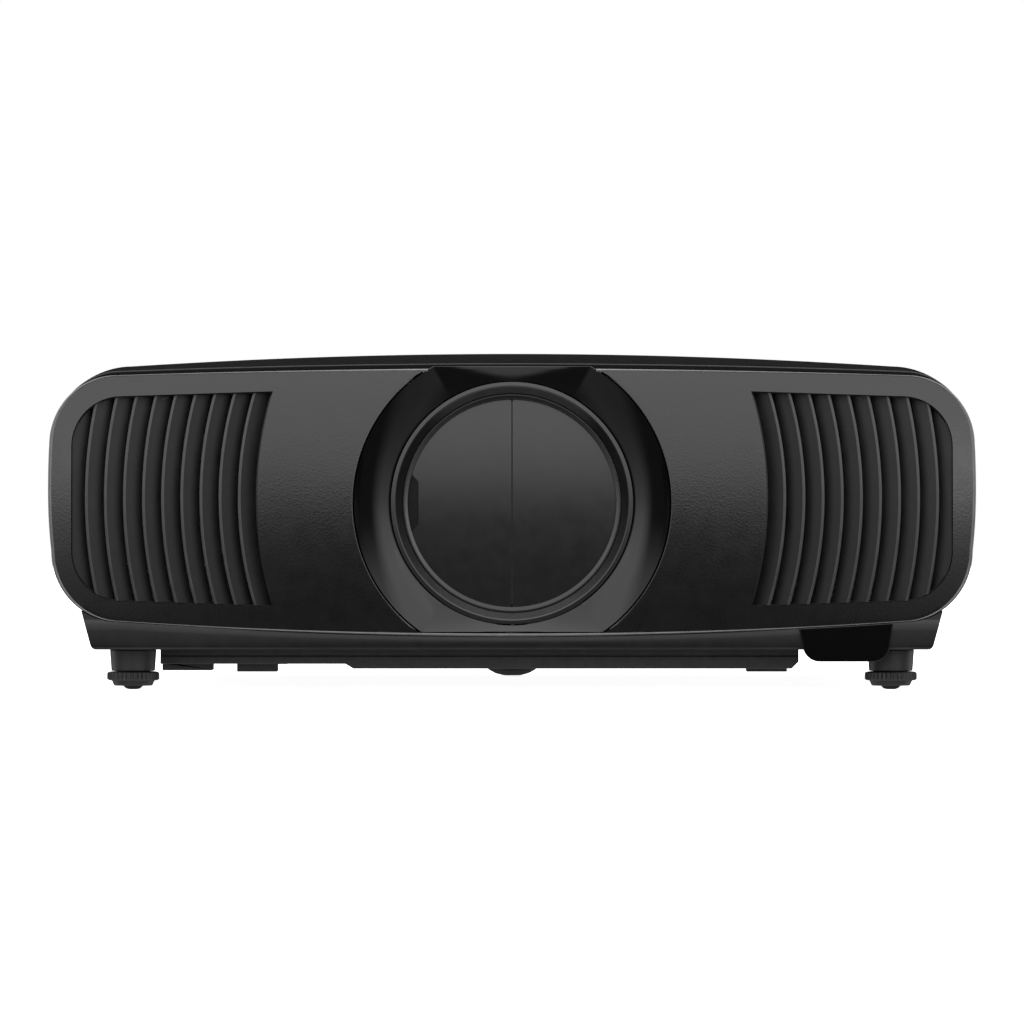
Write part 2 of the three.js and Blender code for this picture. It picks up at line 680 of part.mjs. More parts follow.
function filterDoor() {
  const { x0, x1, z0, z1, frontY } = DOOR;
  const { first, last, pitch, height, margin } = DOOR_SLOT;
  const plate = box(x0 + GAP, x1 - GAP, frontY, REAR_PANEL.backY, z0 + 0.9, z1 - GAP);
  const slots = [];
  for (let z = first; z <= last; z += pitch) {
    slots.push(box(x0 + margin, x1 - margin, 210, 220, z, z + height));
  }
  const grip = box(-160, -130, 215.5, 218.5, 144, 147);
  return join(cut(plate, ...slots), grip);
}

// ---- Side control panel ----
function controlPanel() {
  const { y0, y1, z0, z1, faceX, thickness } = CONTROLS;
  const plate = box(faceX - thickness, faceX, y0, y1, z0, z1);
  return cut(plate, ...BUTTONS.map(([, y, z]) => cylinderX(BUTTON.r + GAP, 250, 262, y, z)));
}

// A round button, with a flange behind the plate that keeps it in
function button(y, z) {
  const cap = cylinderX(BUTTON.r, BUTTON.backX, BUTTON.topX, y, z);
  return join(cap, cylinderX(BUTTON.flangeR, ...BUTTON.flangeX, y, z));
}

// ---- Lens and its shift carriages ----
function lensBarrel() {
  const { front, back, r, bore } = BARREL;
  return turnedY([
    [bore + 4, front], [r, front], [r, front + 19], [r - 1, front + 21], [r - 1, back - 8],
    [r - 10, back], [32, back], [32, back - 20], [bore, front + 18], [bore + 4, front + 14],
    [bore + 4, front],
  ]);
}

function frontLens() {
  return turnedY([[0, -190], [18, -189.3], [34, -187], [48.5, -183], [48.5, -178], [0, -182]]);
}

function lensRing(y0, y1) {
  const r = BARREL.r - 1;
  return turnedY([
    [r + GAP, y0], [r + 5, y0], [r + 6.5, y0 + 2], [r + 6.5, y1 - 2], [r + 5, y1], [r + GAP, y1],
    [r + GAP, y0],
  ]);
}

function shiftPlateZ() {
  const plate = box(-62, 62, -88, -84, LENS_Z - 58, LENS_Z + 58);
  return cut(plate, cylinderY(34, -95, -80, 0, LENS_Z, 28));
}

function shiftPlateX() {
  const plate = box(-72, 72, -83.6, -79.6, LENS_Z - 70, LENS_Z + 70);
  return cut(plate, box(-45, 45, -90, -70, LENS_Z - 48, LENS_Z + 48));
}

function lensMount() {
  const plate = box(-92, 92, -79.2, -73.2, 28, 176);
  const foot = box(-92, 92, -79.2, -55, 26.4, 31);
  return join(cut(plate, cylinderY(46, -90, -70, 0, LENS_Z, 32)), foot);
}

// ---- Light engine ----
function opticalEngine() {
  const tray = box(-78, 78, -72.8, 62, 60, 84);
  const sides = [box(-78, -40, -72.8, 62, 80, 132), box(40, 78, -72.8, 62, 80, 132)];
  return join(tray, ...sides, box(-45, 45, 0, 62, 80, 132));
}

// Cross prism with the three imaging panels bonded to its faces
function prismBlock() {
  const cube = box(-14, 14, -64, -36, 84.4, 125);
  const sides = [box(-17, -13, -62, -38, 90, 120), box(13, 17, -62, -38, 90, 120)];
  return join(cube, ...sides, box(-12, 12, -37, -33, 90, 120));
}

function laserModule() {
  const bank = box(-158, -79, 20, 108, 55, 142);
  const wheelMotor = cylinderY(12, 107, PHOSPHOR.y - 3, PHOSPHOR.x, PHOSPHOR.z, 20);
  return join(bank, wheelMotor);
}

function phosphorWheel() {
  const { x, y, z, r } = PHOSPHOR;
  return join(cylinderY(r, y - 1, y + 1, x, z, 32), cylinderY(9, y - 2.4, y + 3, x, z, 20));
}

function heatsink() {
  const { x0, x1, y0, y1, z0, z1, pitch, fin } = HEATSINK;
  const root = x1 - 10;
  const fins = [];
  for (let y = y0 + 4; y + fin < y1; y += pitch) {
    fins.push(box(x0, root + 2, y, y + fin, z0, z1));
  }
  return join(box(root, x1, y0, y1, z0, z1), ...fins);
}

// ---- Fans ----
function fanFrame(side) {
  const { x, y, z, size, depth, boreR, hubR } = FAN;
  const [half, front, back] = [size / 2, y - depth / 2, y + depth / 2];
  const cx = side * x;
  const shroud = cut(
    box(cx - half, cx + half, front, back, z - half, z + half),
    cylinderY(boreR, front - 1, back + 1, cx, z, 24),
  );
  const struts = [
    box(cx - boreR - 1, cx + boreR + 1, back - 3, back, z - 2, z + 2),
    box(cx - 2, cx + 2, back - 3, back, z - boreR - 1, z + boreR + 1),
    cylinderY(hubR - 2, back - 4, back, cx, z, 20),
  ];
  return join(shroud, ...struts);
}

function fanRotor(side) {
  const { x, y, z, depth, rotorR, hubR, blades } = FAN;
  const [front, back] = [y - depth / 2 + 1, y + depth / 2 - 5];
  const pieces = [cylinderY(hubR, front, back, 0, 0, 20)];
  for (let i = 0; i < blades; i += 1) {
    const blade = new THREE.BoxGeometry(1.6, 20, rotorR - hubR + 2).rotateZ(radians(38));
    blade.translate(0, (front + back) / 2, (rotorR + hubR) / 2 - 1);
    pieces.push(blade.rotateY(radians((360 * i) / blades)));
  }
  const round = cylinderY(rotorR, front - 0.5, back, 0, 0, 28);
  return common(join(...pieces), round).translate(side * x, 0, z);
}

// ---- Electronics ----
function mainBoard() {
  const board = box(-60, 232, 90, 200, 84, 85.8);
  const chips = [[30, 120, 26], [95, 130, 34], [160, 125, 22], [-25, 150, 20]];
  return join(board, ...chips.map(([x, y, size]) => box(x, x + size, y, y + size, 85.5, 89)));
}

function powerSupply() {
  const tray = box(110, 228, -120, 60, 30, 34);
  const transformer = box(120, 165, -100, -40, 33, 72);
  const filter = box(175, 224, -100, 20, 33, 62);
  const capacitors = box(120, 160, -20, 40, 33, 66);
  return join(tray, transformer, filter, capacitors);
}

// ---- Assembly ----
const COLOURS = {
  casing: [0x2b2b2c, 0.62, 0],
  panel: [0x2a2a2b, 0.55, 0],
  grille: [0x252526, 0.6, 0],
  gloss: [0x0c0c0d, 0.18, 0],
  satin: [0x303031, 0.35, 0],
  rubber: [0x151515, 0.9, 0],
  steel: [0x9a9a9c, 0.35, 1],
  aluminium: [0xb4b6b8, 0.4, 1],
  glass: [0x1c2430, 0.05, 0],
  board: [0x12402a, 0.6, 0],
  foam: [0x3a3a3a, 0.95, 0],
};

const projector = new THREE.Group();

function add(name, geometry, finish) {
  const [color, roughness, metalness] = COLOURS[finish];
  const material = new THREE.MeshStandardMaterial({ color, roughness, metalness });
  const mesh = new THREE.Mesh(geometry, material);
  mesh.name = name;
  projector.add(mesh);
}

add('top_cover', topCover(), 'casing');
add('bottom_case', bottomCase(), 'casing');
add('base_plate', basePlate(), 'casing');
add('front_panel', frontPanel(), 'panel');
const leftGrille = grille();
add('grille_left', leftGrille, 'grille');
add('grille_right', mirrored(leftGrille), 'grille');
add('lens_surround', lensSurround(), 'gloss');
add('lens_trim_ring', lensTrimRing(), 'satin');
add('receiver_window_front', frontWindow(), 'gloss');

add('shutter_left', shutterLeft(), 'satin');
add('shutter_right', shutterRight(), 'satin');
add('shutter_pinion', shutterPinion(), 'steel');
add('shutter_frame', shutterFrame(), 'casing');

for (const [name, side] of [['left', -1], ['right', 1]]) {
  add(`foot_leg_${name}`, footLeg(side), 'casing');
  add(`foot_wheel_${name}`, footWheel(side), 'casing');
  add(`foot_tip_${name}`, footTip(side), 'rubber');
  add(`fan_frame_${name}`, fanFrame(side), 'casing');
  add(`fan_rotor_${name}`, fanRotor(side), 'casing');
}
add('rear_foot', rearFoot(), 'rubber');

add('rear_panel', rearPanel(), 'casing');
add('connector_plate', connectorPlate(), 'casing');
for (const row of SOCKETS) {
  add(row.name, socket(row), 'steel');
}
add('power_inlet', powerInlet(), 'gloss');
add('trigger_jack', triggerJack(), 'gloss');
add('receiver_window_rear', rearWindow(), 'gloss');
add('filter_cover', filterDoor(), 'casing');
add('air_filter', box(-209, -81, 199, 213, 92, 146), 'foam');

add('control_panel', controlPanel(), 'casing');
for (const [name, y, z] of BUTTONS) {
  add(name, button(y, z), 'satin');
}

add('lens_barrel', lensBarrel(), 'casing');
add('front_lens', frontLens(), 'glass');
add('focus_ring', lensRing(-165, -145), 'satin');
add('zoom_ring', lensRing(-136, -114), 'satin');
add('shift_plate_vertical', shiftPlateZ(), 'aluminium');
add('shift_plate_horizontal', shiftPlateX(), 'aluminium');
add('lens_mount', lensMount(), 'aluminium');

add('optical_engine', opticalEngine(), 'casing');
add('prism_block', prismBlock(), 'glass');
add('laser_module', laserModule(), 'aluminium');
add('phosphor_wheel', phosphorWheel(), 'aluminium');
add('heatsink', heatsink(), 'aluminium');
add('main_board', mainBoard(), 'board');
add('power_supply', powerSupply(), 'steel');

export default projector;
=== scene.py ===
import json
import math

import bmesh
import bpy
from mathutils import Matrix, Vector


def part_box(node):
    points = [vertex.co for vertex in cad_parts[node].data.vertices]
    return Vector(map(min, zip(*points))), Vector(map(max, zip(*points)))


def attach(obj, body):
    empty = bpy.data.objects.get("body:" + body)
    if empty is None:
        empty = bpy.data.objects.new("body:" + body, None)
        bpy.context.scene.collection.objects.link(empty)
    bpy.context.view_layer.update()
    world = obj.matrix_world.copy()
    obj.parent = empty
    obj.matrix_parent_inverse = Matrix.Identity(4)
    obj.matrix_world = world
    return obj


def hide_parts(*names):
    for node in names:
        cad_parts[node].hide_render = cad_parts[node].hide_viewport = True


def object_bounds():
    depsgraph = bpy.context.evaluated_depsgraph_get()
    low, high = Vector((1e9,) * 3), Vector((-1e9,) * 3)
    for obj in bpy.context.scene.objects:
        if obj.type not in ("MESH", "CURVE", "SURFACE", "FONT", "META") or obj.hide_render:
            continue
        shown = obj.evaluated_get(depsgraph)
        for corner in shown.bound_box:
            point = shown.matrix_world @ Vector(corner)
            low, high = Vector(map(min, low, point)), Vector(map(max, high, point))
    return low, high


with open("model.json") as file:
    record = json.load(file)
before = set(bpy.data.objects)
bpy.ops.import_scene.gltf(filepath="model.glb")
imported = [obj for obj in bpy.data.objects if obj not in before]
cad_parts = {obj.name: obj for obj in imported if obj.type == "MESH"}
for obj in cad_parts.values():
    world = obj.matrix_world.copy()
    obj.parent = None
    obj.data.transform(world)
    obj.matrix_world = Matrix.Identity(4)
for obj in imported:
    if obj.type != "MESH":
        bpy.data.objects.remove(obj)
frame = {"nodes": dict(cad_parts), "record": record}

# Lengths below are millimetres in the CAD frame: +Z up, the lens faces -Y. Meshes are metres.
MM = 0.001
CAD_BOX = [list(corner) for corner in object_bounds()]

LENS_Z = 105
FRONT_Y = CAD_BOX[0][1] / MM
REAR_Y = CAD_BOX[1][1] / MM
HEIGHT = CAD_BOX[1][2] / MM

PANEL_HALF = CAD_BOX[1][0] / MM
PANEL_TOP = 180
PANEL_BOTTOM = 31.1
PANEL_WAIST = 112
PANEL_BACK = -198
PANEL_WALL = 3
TOP_CORNER = (222, 138, 37.4, 38.6)
BOTTOM_CORNER = (220, 78, 38, 39.4)
CROWN_SIDE = 14
CROWN_HEIGHT = 10
CROWN_MIDDLE = 105.5
CROWN_HALF = 74.5
OPENING_R = 89.1
OPENING_TOP = 178.6
OPENING_BOTTOM = 32.1

SURROUND_R = 88.7
SURROUND_TOP = 181.9
SURROUND_BOTTOM = 32.4
THROAT_R = 68.5
THROAT_Y = -209
DISH = 0.0064

LEAF_R = 63
LEAF_FRONT = -202.5
LEAF_BACK = -199.6
LEAF_CROWN = 2
SEAM_HALF = 0.36

GRILLE_OUTER = 247.5
GRILLE_CORNER = 28
GRILLE_CORNER_TOP = 165
GRILLE_CORNER_BOTTOM = 49.6
GRILLE_TOP = 167.7
GRILLE_BOTTOM = 46.8
GRILLE_ARC_X = 69.3
GRILLE_ARC_R = 212
GRILLE_ARC_Z = 108
FIRST_RIDGE = 153.8
RIDGE_PITCH = 10.77
STRAIGHTER = 0.028
SLATS = 10
SLAT_RECESS = 2.2
FRONT_CUT = (-240, -185)

COVER_HALF = 258.5
COVER_FRONT = -197.6
COVER_PEAK = 10
COVER_TOP = HEIGHT - 0.7
COVER_RISE = 8.6
COVER_CORNER = (38, 40)
COVER_ARCH = (4.3, 3.2)
SEAM_Z = 70
WALL = 3
REAR_FROM = 185
REAR_TAPER = 13
REAR_DROP = 7
REAR_FACE = 216
REAR_CUT = (200, 230)

BAND_FRONT = -213.5
BAND_TOP = (242.2, 45.4)
BAND_BOTTOM = (236.8, 22.7)

FOOT_X = 213.7
FOOT_Y = -188
KNURLS = 36


# ---- Mesh helpers ----
def new_object(name, mesh):
    obj = bpy.data.objects.new(name, mesh)
    bpy.context.scene.collection.objects.link(obj)
    return obj


def mesh_object(name, verts, faces):
    """A mesh from points in millimetres, cleaned and with its faces turned outwards."""
    mesh = bpy.data.meshes.new(name)
    mesh.from_pydata([Vector(v) * MM for v in verts], [], faces)
    shape = bmesh.new()
    shape.from_mesh(mesh)
    bmesh.ops.remove_doubles(shape, verts=shape.verts, dist=1e-7)
    bmesh.ops.dissolve_degenerate(shape, dist=1e-8, edges=shape.edges)
    bmesh.ops.recalc_face_normals(shape, faces=shape.faces)
    shape.to_mesh(mesh)
    shape.free()
    return new_object(name, mesh)


def walls(loops, wrap=False):
    """The points of loops of equal length, and the quads that join each loop to the next."""
    count = len(loops[0])
    verts = [point for loop in loops for point in loop]
    faces = []
    for k in range(len(loops) if wrap else len(loops) - 1):
        here, there = k * count, (k + 1) % len(loops) * count
        for i in range(count):
            j = (i + 1) % count
            faces.append((here + i, here + j, there + j, there + i))
    return verts, faces


def loft(name, loops, wrap=False):
    """Joins loops of equal length with quads. A wrapped loft closes on itself, and any other is capped."""
    verts, faces = walls(loops, wrap)
    if not wrap:
        count = len(loops[0])
        last = len(verts) - count
        faces.append(tuple(range(count)))
        faces.append(tuple(range(last, last + count)))
    return mesh_object(name, verts, faces)


def rounded(profile, radius, steps=4):
    """A closed profile with each of its corners turned into a small arc."""
    result = []
    count = len(profile)
    for i, corner in enumerate(profile):
        here = Vector(corner)
        before = Vector(profile[i - 1]) - here
        after = Vector(profile[(i + 1) % count]) - here
        if corner[0] < 1e-6 or before.length < 1e-6 or after.length < 1e-6:
            result.append(tuple(here))
            continue
        reach = min(radius, before.length * 0.45, after.length * 0.45)
        start = here + before.normalized() * reach
        end = here + after.normalized() * reach
        for k in range(steps + 1):
            t = k / steps
            point = start * (1 - t) ** 2 + here * 2 * t * (1 - t) + end * t**2
            result.append(tuple(point))
    return result


def turned(name, profile, axis, centre, steps=128, radius=0.4):
    """A closed profile of (radius, distance along the axis), turned about an axis through a centre."""
    smooth = rounded(profile, radius)
    loops = []
    for r, along in smooth:
        ring = []
        for k in range(steps):
            angle = 2 * math.pi * k / steps
            u, v = r * math.cos(angle), r * math.sin(angle)
            offset = {"X": (along, u, v), "Y": (u, along, v), "Z": (u, v, along)}[axis]
            ring.append(tuple(c + o for c, o in zip(centre, offset)))
        loops.append(ring)
    return loft(name, loops, wrap=True)


def prism(name, outline, low, high, axis):
    """An outline given in the two other axes, extruded along X, Y or Z."""
    def place(p, along):
        return {"X": (along, p[0], p[1]), "Y": (p[0], along, p[1]), "Z": (p[0], p[1], along)}[axis]

    return loft(name, [[place(p, low) for p in outline], [place(p, high) for p in outline]])


def rod(name, r, low, high, axis, centre, steps=48, radius=0.1):
    """A solid cylinder between two places on its axis."""
    return turned(name, [(0, low), (r, low), (r, high), (0, high)], axis, centre, steps, radius)


def block(name, x0, x1, y0, y1, z0, z1):
    return prism(name, [(x0, y0), (x1, y0), (x1, y1), (x0, y1)], z0, z1, "Z")


def node_box(node):
    """The low and high corner of a CAD node's box, in millimetres."""
    return [[c / MM for c in corner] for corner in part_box(node)]


def node_block(node):
    low, high = node_box(node)
    return block(node, low[0], high[0], low[1], high[1], low[2], high[2])


def apply_modifiers(obj):
    evaluated = obj.evaluated_get(bpy.context.evaluated_depsgraph_get())
    mesh = bpy.data.meshes.new_from_object(evaluated)
    obj.modifiers.clear()
    obj.data = mesh


def combine(obj, others, operation):
    """Cuts, joins or intersects with each other solid in turn, and removes those solids."""
    for other in others:
        modifier = obj.modifiers.new("combine", "BOOLEAN")
        modifier.operation = operation
        modifier.solver = "EXACT"
        modifier.object = other
        apply_modifiers(obj)
        bpy.data.objects.remove(other)
    return obj


def bevel(obj, width, angle=50, segments=3):
    modifier = obj.modifiers.new("bevel", "BEVEL")
    modifier.width = width * MM
    modifier.segments = segments
    modifier.limit_method = "ANGLE"
    modifier.angle_limit = math.radians(angle)
    modifier.use_clamp_overlap = True
    apply_modifiers(obj)
    return obj


def merge(name, objects):
    """One object that holds several separate closed solids."""
    shape = bmesh.new()
    for obj in objects:
        shape.from_mesh(obj.data)
        bpy.data.objects.remove(obj)
    mesh = bpy.data.meshes.new(name)
    shape.to_mesh(mesh)
    shape.free()
    return new_object(name, mesh)


def mirrored(obj, name):
    mesh = obj.data.copy()
    mesh.transform(Matrix.Scale(-1, 4, (1, 0, 0)))
    mesh.flip_normals()
    return new_object(name, mesh)


def piece(obj, body, finish, slot, *nodes, angle=32):
    """Shades and finishes a piece that stands for CAD nodes, puts it on its body and hides those nodes."""
    for polygon in obj.data.polygons:
        polygon.use_smooth = True
    obj.data.set_sharp_from_angle(angle=math.radians(angle))
    modifier = obj.modifiers.new("normals", "WEIGHTED_NORMAL")
    modifier.keep_sharp = True
    apply_modifiers(obj)
    obj.data.materials.clear()
    obj.data.materials.append(MATERIALS[finish])
    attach(obj, body)
    if nodes:
        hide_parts(*nodes)
    return obj


# ---- Materials ----
def noise(nodes, links, coordinates, scale, detail=3.0):
    texture = nodes.new("ShaderNodeTexNoise")
    texture.inputs["Scale"].default_value = scale
    texture.inputs["Detail"].default_value = detail
    links.new(coordinates, texture.inputs["Vector"])
    return texture.outputs["Fac"]


def spread(nodes, links, value, start, end, low=0, high=1):
    """Takes a value from between start and end to between low and high."""
    scale = nodes.new("ShaderNodeMapRange")
    ends = {"From Min": start, "From Max": end, "To Min": low, "To Max": high}
    for name, amount in ends.items():
        scale.inputs[name].default_value = amount
    links.new(value, scale.inputs["Value"])
    return scale.outputs["Result"]


def finish_material(name, colour, roughness, grain_mm, depth_mm, pebbled=False, metallic=0.0,
                    specular=0.5, variation=0.12, stretch=(1, 1, 1)):
    """A procedural finish: mottled colour, uneven roughness, and grain of a real size as bump."""
    material = bpy.data.materials.new(name)
    material.use_nodes = True
    nodes, links = material.node_tree.nodes, material.node_tree.links
    shader = nodes["Principled BSDF"]
    shader.inputs["Metallic"].default_value = metallic
    shader.inputs["Specular IOR Level"].default_value = specular
    place = nodes.new("ShaderNodeTexCoord")
    mapping = nodes.new("ShaderNodeMapping")
    mapping.inputs["Scale"].default_value = stretch
    links.new(place.outputs["Object"], mapping.inputs["Vector"])
    at = mapping.outputs["Vector"]

    ramp = nodes.new("ShaderNodeValToRGB")
    for stop, position, sign in zip(ramp.color_ramp.elements, (0.35, 0.65), (-1, 1)):
        stop.position = position
        stop.color = (*[c * (1 + sign * variation) for c in colour], 1)
    links.new(noise(nodes, links, at, 180), ramp.inputs["Fac"])
    links.new(ramp.outputs["Color"], shader.inputs["Base Color"])
    patches = noise(nodes, links, at, 90)
    uneven = spread(nodes, links, patches, 0.3, 0.7, roughness * 0.92, roughness * 1.08)
    links.new(uneven, shader.inputs["Roughness"])

    grain = noise(nodes, links, at, 1 / (grain_mm * MM), 2.0)
    if pebbled:
        cells = nodes.new("ShaderNodeTexVoronoi")
        cells.feature = "SMOOTH_F1"
        cells.inputs["Scale"].default_value = 1 / (grain_mm * MM)
        cells.inputs["Smoothness"].default_value = 0.6
        links.new(at, cells.inputs["Vector"])
        grain = cells.outputs["Distance"]
    bump = nodes.new("ShaderNodeBump")
    bump.inputs["Strength"].default_value = 1.0
    bump.inputs["Distance"].default_value = depth_mm * MM
    links.new(grain, bump.inputs["Height"])
    links.new(bump.outputs["Normal"], shader.inputs["Normal"])
    return material


def glass_material(name, colour, roughness):
    material = finish_material(name, colour, roughness, 30, 0.002, variation=0.02)
    shader = material.node_tree.nodes["Principled BSDF"]
    shader.inputs["Transmission Weight"].default_value = 1.0
    shader.inputs["IOR"].default_value = 1.52
    return material


# Each finish: colour, roughness, grain size and depth in millimetres, and what isn't the default.
FINISHES = {
    "cover": ((0.0045, 0.0045, 0.0047), 0.33, 0.45, 0.01, {"specular": 0.075}),
    "casing": ((0.006, 0.006, 0.0063), 0.3, 0.45, 0.01, {"specular": 0.35}),
    # Partly painted light: a grey lighter than the casing, made lighter still so that the tray, shaded under
    # the band, reads bright.
    "tray": ((0.042, 0.042, 0.0425), 0.5, 0.45, 0.02, {"specular": 0.5}),
    "panel": ((0.001, 0.001, 0.0011), 0.28, 1.0, 0.06, {"pebbled": True, "specular": 0.7}),
    # Painted highlight: the panel's edge bead is coloured far lighter than the panel, so that it reads as a
    # bright line along the edge.
    "rim": ((0.11, 0.11, 0.112), 0.3, 0.5, 0.003, {}),
    # Painted highlight: the grille's ridges are a lighter copy of the grille plastic, standing in for the
    # light they catch.
    "ridge": ((0.036, 0.036, 0.037), 0.4, 0.5, 0.003, {}),
    # Painted highlight: the cover's front-edge bead is lighter than the cover, so that it reads as a thin
    # bright line.
    "lip": ((0.012, 0.012, 0.0123), 0.4, 0.5, 0.003, {"specular": 0.4}),
    "rear": ((0.02, 0.02, 0.0205), 0.42, 0.6, 0.02, {"specular": 0.45}),
    "grille": ((0.007, 0.007, 0.0073), 0.5, 0.5, 0.008, {"specular": 0.45}),
    "gloss": ((0.002, 0.002, 0.0022), 0.13, 4.0, 0.004, {}),
    "trim": ((0.008, 0.008, 0.0085), 0.25, 0.6, 0.003, {"specular": 0.6}),
    "shutter": ((0.009, 0.009, 0.0095), 0.16, 0.35, 0.001, {"specular": 0.78}),
    "window": ((0.001, 0.001, 0.0013), 0.06, 8.0, 0.001, {"specular": 0.35}),
    "foot": ((0.016, 0.016, 0.0163), 0.5, 0.5, 0.015, {}),
    "rubber": ((0.01, 0.01, 0.01), 0.85, 0.6, 0.03, {"specular": 0.3}),
    "button": ((0.03, 0.03, 0.031), 0.42, 0.4, 0.006, {}),
    "nickel": ((0.6, 0.59, 0.57), 0.28, 0.5, 0.004, {"metallic": 1.0, "stretch": (1, 1, 6)}),
    "brass": ((0.62, 0.47, 0.22), 0.35, 0.5, 0.004, {"metallic": 1.0}),
    "moulding": ((0.01, 0.01, 0.0105), 0.5, 0.5, 0.012, {}),
    "contact": ((0.75, 0.6, 0.3), 0.25, 0.4, 0.002, {"metallic": 1.0}),
    "steel": ((0.5, 0.5, 0.51), 0.38, 0.6, 0.006, {"metallic": 1.0, "stretch": (1, 8, 1)}),
    "aluminium": ((0.62, 0.62, 0.64), 0.4, 0.5, 0.01, {"metallic": 1.0, "stretch": (8, 1, 1)}),
    "board": ((0.01, 0.06, 0.03), 0.4, 2.0, 0.02, {}),
    "foam": ((0.06, 0.06, 0.06), 0.95, 1.5, 0.3, {"pebbled": True, "specular": 0.2}),
    "mark": ((0.35, 0.35, 0.36), 0.5, 0.5, 0.004, {}),
}
MATERIALS = {name: finish_material(name, *plain, **special) for name, (*plain, special) in FINISHES.items()}
MATERIALS["lens"] = glass_material("lens", (0.85, 0.88, 1.0), 0.01)


# ---- Shape rules shared with the CAD ----
def arc(cx, cz, rx, rz, start, end, steps):
    points = []
    for k in range(steps + 1):
        angle = math.radians(start + (end - start) * k / steps)
        points.append((cx + rx * math.cos(angle), cz + rz * math.sin(angle)))
    return points


def face_y(x, z):
    """Depth of the panel's pillowed face."""
    side = CROWN_SIDE * (x / PANEL_HALF) ** 4
    return FRONT_Y + side + CROWN_HEIGHT * ((z - CROWN_MIDDLE) / CROWN_HALF) ** 2


def panel_bottom(x):
    rise = BOTTOM_CORNER[1] - BOTTOM_CORNER[3] - PANEL_BOTTOM
    return PANEL_BOTTOM + rise * (x / BOTTOM_CORNER[0]) ** 2


def panel_top(x):
    drop = PANEL_TOP - TOP_CORNER[1] - TOP_CORNER[3]
    return PANEL_TOP - drop * (x / TOP_CORNER[0]) ** 2


def with_mirror(half):
    """Closes a right-hand half, drawn from bottom middle to top middle, with its mirror image."""
    return half + [(-x, z) for x, z in reversed(half[1:-1])]


def panel_outline():
    bottom_xs = [BOTTOM_CORNER[0] * k / 60 for k in range(60)]
    top_xs = [TOP_CORNER[0] * k / 60 for k in range(60)]
    bottom = [(x, panel_bottom(x)) for x in bottom_xs]
    top = [(x, panel_top(x)) for x in reversed(top_xs)]
    waist = []
    for z in range(80, 138, 6):
        share = (z - PANEL_WAIST) / 34
        waist.append((PANEL_HALF - (2.0 if z < PANEL_WAIST else 0.9) * share**2, z))
    corner = arc(*BOTTOM_CORNER, -90, 0, 24)
    return with_mirror(bottom + corner + waist + arc(*TOP_CORNER, 0, 90, 24) + top)


def flattened_circle(outline, r, top, bottom):
    """A circle about the lens with flats, one point on the ray of each outline point."""
    points = []
    for x, z in outline:
        angle = math.atan2(z - LENS_Z, x)
        rise = math.sin(angle)
        reach = r
        if abs(rise) > 1e-9:
            reach = min(r, ((top if rise > 0 else bottom) - LENS_Z) / rise)
        points.append((reach * math.cos(angle), LENS_Z + reach * rise))
    return points


def between(outline, opening, reach, share):
    """Points a distance in from the outline, but no further than a share of the way."""
    points = []
    for (x, z), (u, v) in zip(outline, opening):
        t = min(reach / math.hypot(u - x, v - z), share)
        points.append((x + (u - x) * t, z + (v - z) * t))
    return points


def on_face(points, behind):
    return [(x, face_y(x, z) + behind, z) for x, z in points]


def at_y(points, y):
    return [(x, y, z) for x, z in points]


def bow(z):
    return GRILLE_ARC_R - math.sqrt(GRILLE_ARC_R**2 - (z - GRILLE_ARC_Z) ** 2)


def grille_outline(grow):
    """The left vent's outline, counted from the foot of its inner edge."""
    low, high = GRILLE_BOTTOM - grow, GRILLE_TOP + grow
    inner_x = GRILLE_ARC_X - GRILLE_ARC_R + grow
    points = []
    for k in range(33):
        z = low + (high - low) * k / 32
        points.append((inner_x + bow(z), z))
    cx, r = GRILLE_CORNER - GRILLE_OUTER, GRILLE_CORNER + grow
    points += arc(cx, GRILLE_CORNER_TOP - GRILLE_CORNER, r, r, 90, 180, 20)
    points += arc(cx, GRILLE_CORNER_BOTTOM + GRILLE_CORNER, r, r, 180, 270, 20)
    return points


def rear_share(y):
    return max(0, (y - REAR_FROM) / (REAR_Y - REAR_FROM))


def fall(y):
    """0 at the cover's peak and 1 at its front edge, growing with the square of the distance."""
    return ((y - COVER_PEAK) / (COVER_PEAK - COVER_FRONT)) ** 2


def cover_top(y):
    return COVER_TOP - COVER_RISE * fall(y) - REAR_DROP * rear_share(y) ** 2


def cover_half(y):
    return COVER_HALF - REAR_TAPER * rear_share(y) ** 2


def cover_arch(y, inset, seam):
    """The casing's arch, from its right-hand seam over the top to the left."""
    half, top = cover_half(y) - inset, cover_top(y) - inset
    drop = COVER_ARCH[0] + COVER_ARCH[1] * (1 - fall(y))
    rx, rz = COVER_CORNER[0] - inset, COVER_CORNER[1] - inset
    corner_x = half - rx
    right = [(half, seam + (top - drop - rz - seam) * k / 8) for k in range(8)]
    right += arc(corner_x, top - drop - rz, rx, rz, 0, 90, 24)
    for k in range(1, 31):
        x = corner_x * (1 - k / 30)
        right.append((x, top - drop * (x / corner_x) ** 2))
    return right + [(-x, z) for x, z in reversed(right[:-1])]


def lower_section(y, inset, top_z):
    """The lower casing's section, from its base band up to the seam and closed across."""
    shrink = COVER_HALF - cover_half(y) + inset
    floor = BAND_BOTTOM[1] + inset
    cx, cz, rx, rz = BOTTOM_CORNER
    edge_r = 3.5
    right = arc(BAND_BOTTOM[0] - edge_r - shrink, floor + edge_r, edge_r, edge_r, -90, -14, 8)
    right += [(BAND_TOP[0] - shrink, BAND_TOP[1])]
    right += arc(cx, cz, rx - 0.5 - shrink, rz - inset, -50, -20, 12)
    right += [(COVER_HALF - 0.5 - shrink, top_z)]
    return right + [(-x, z) for x, z in reversed(right)]


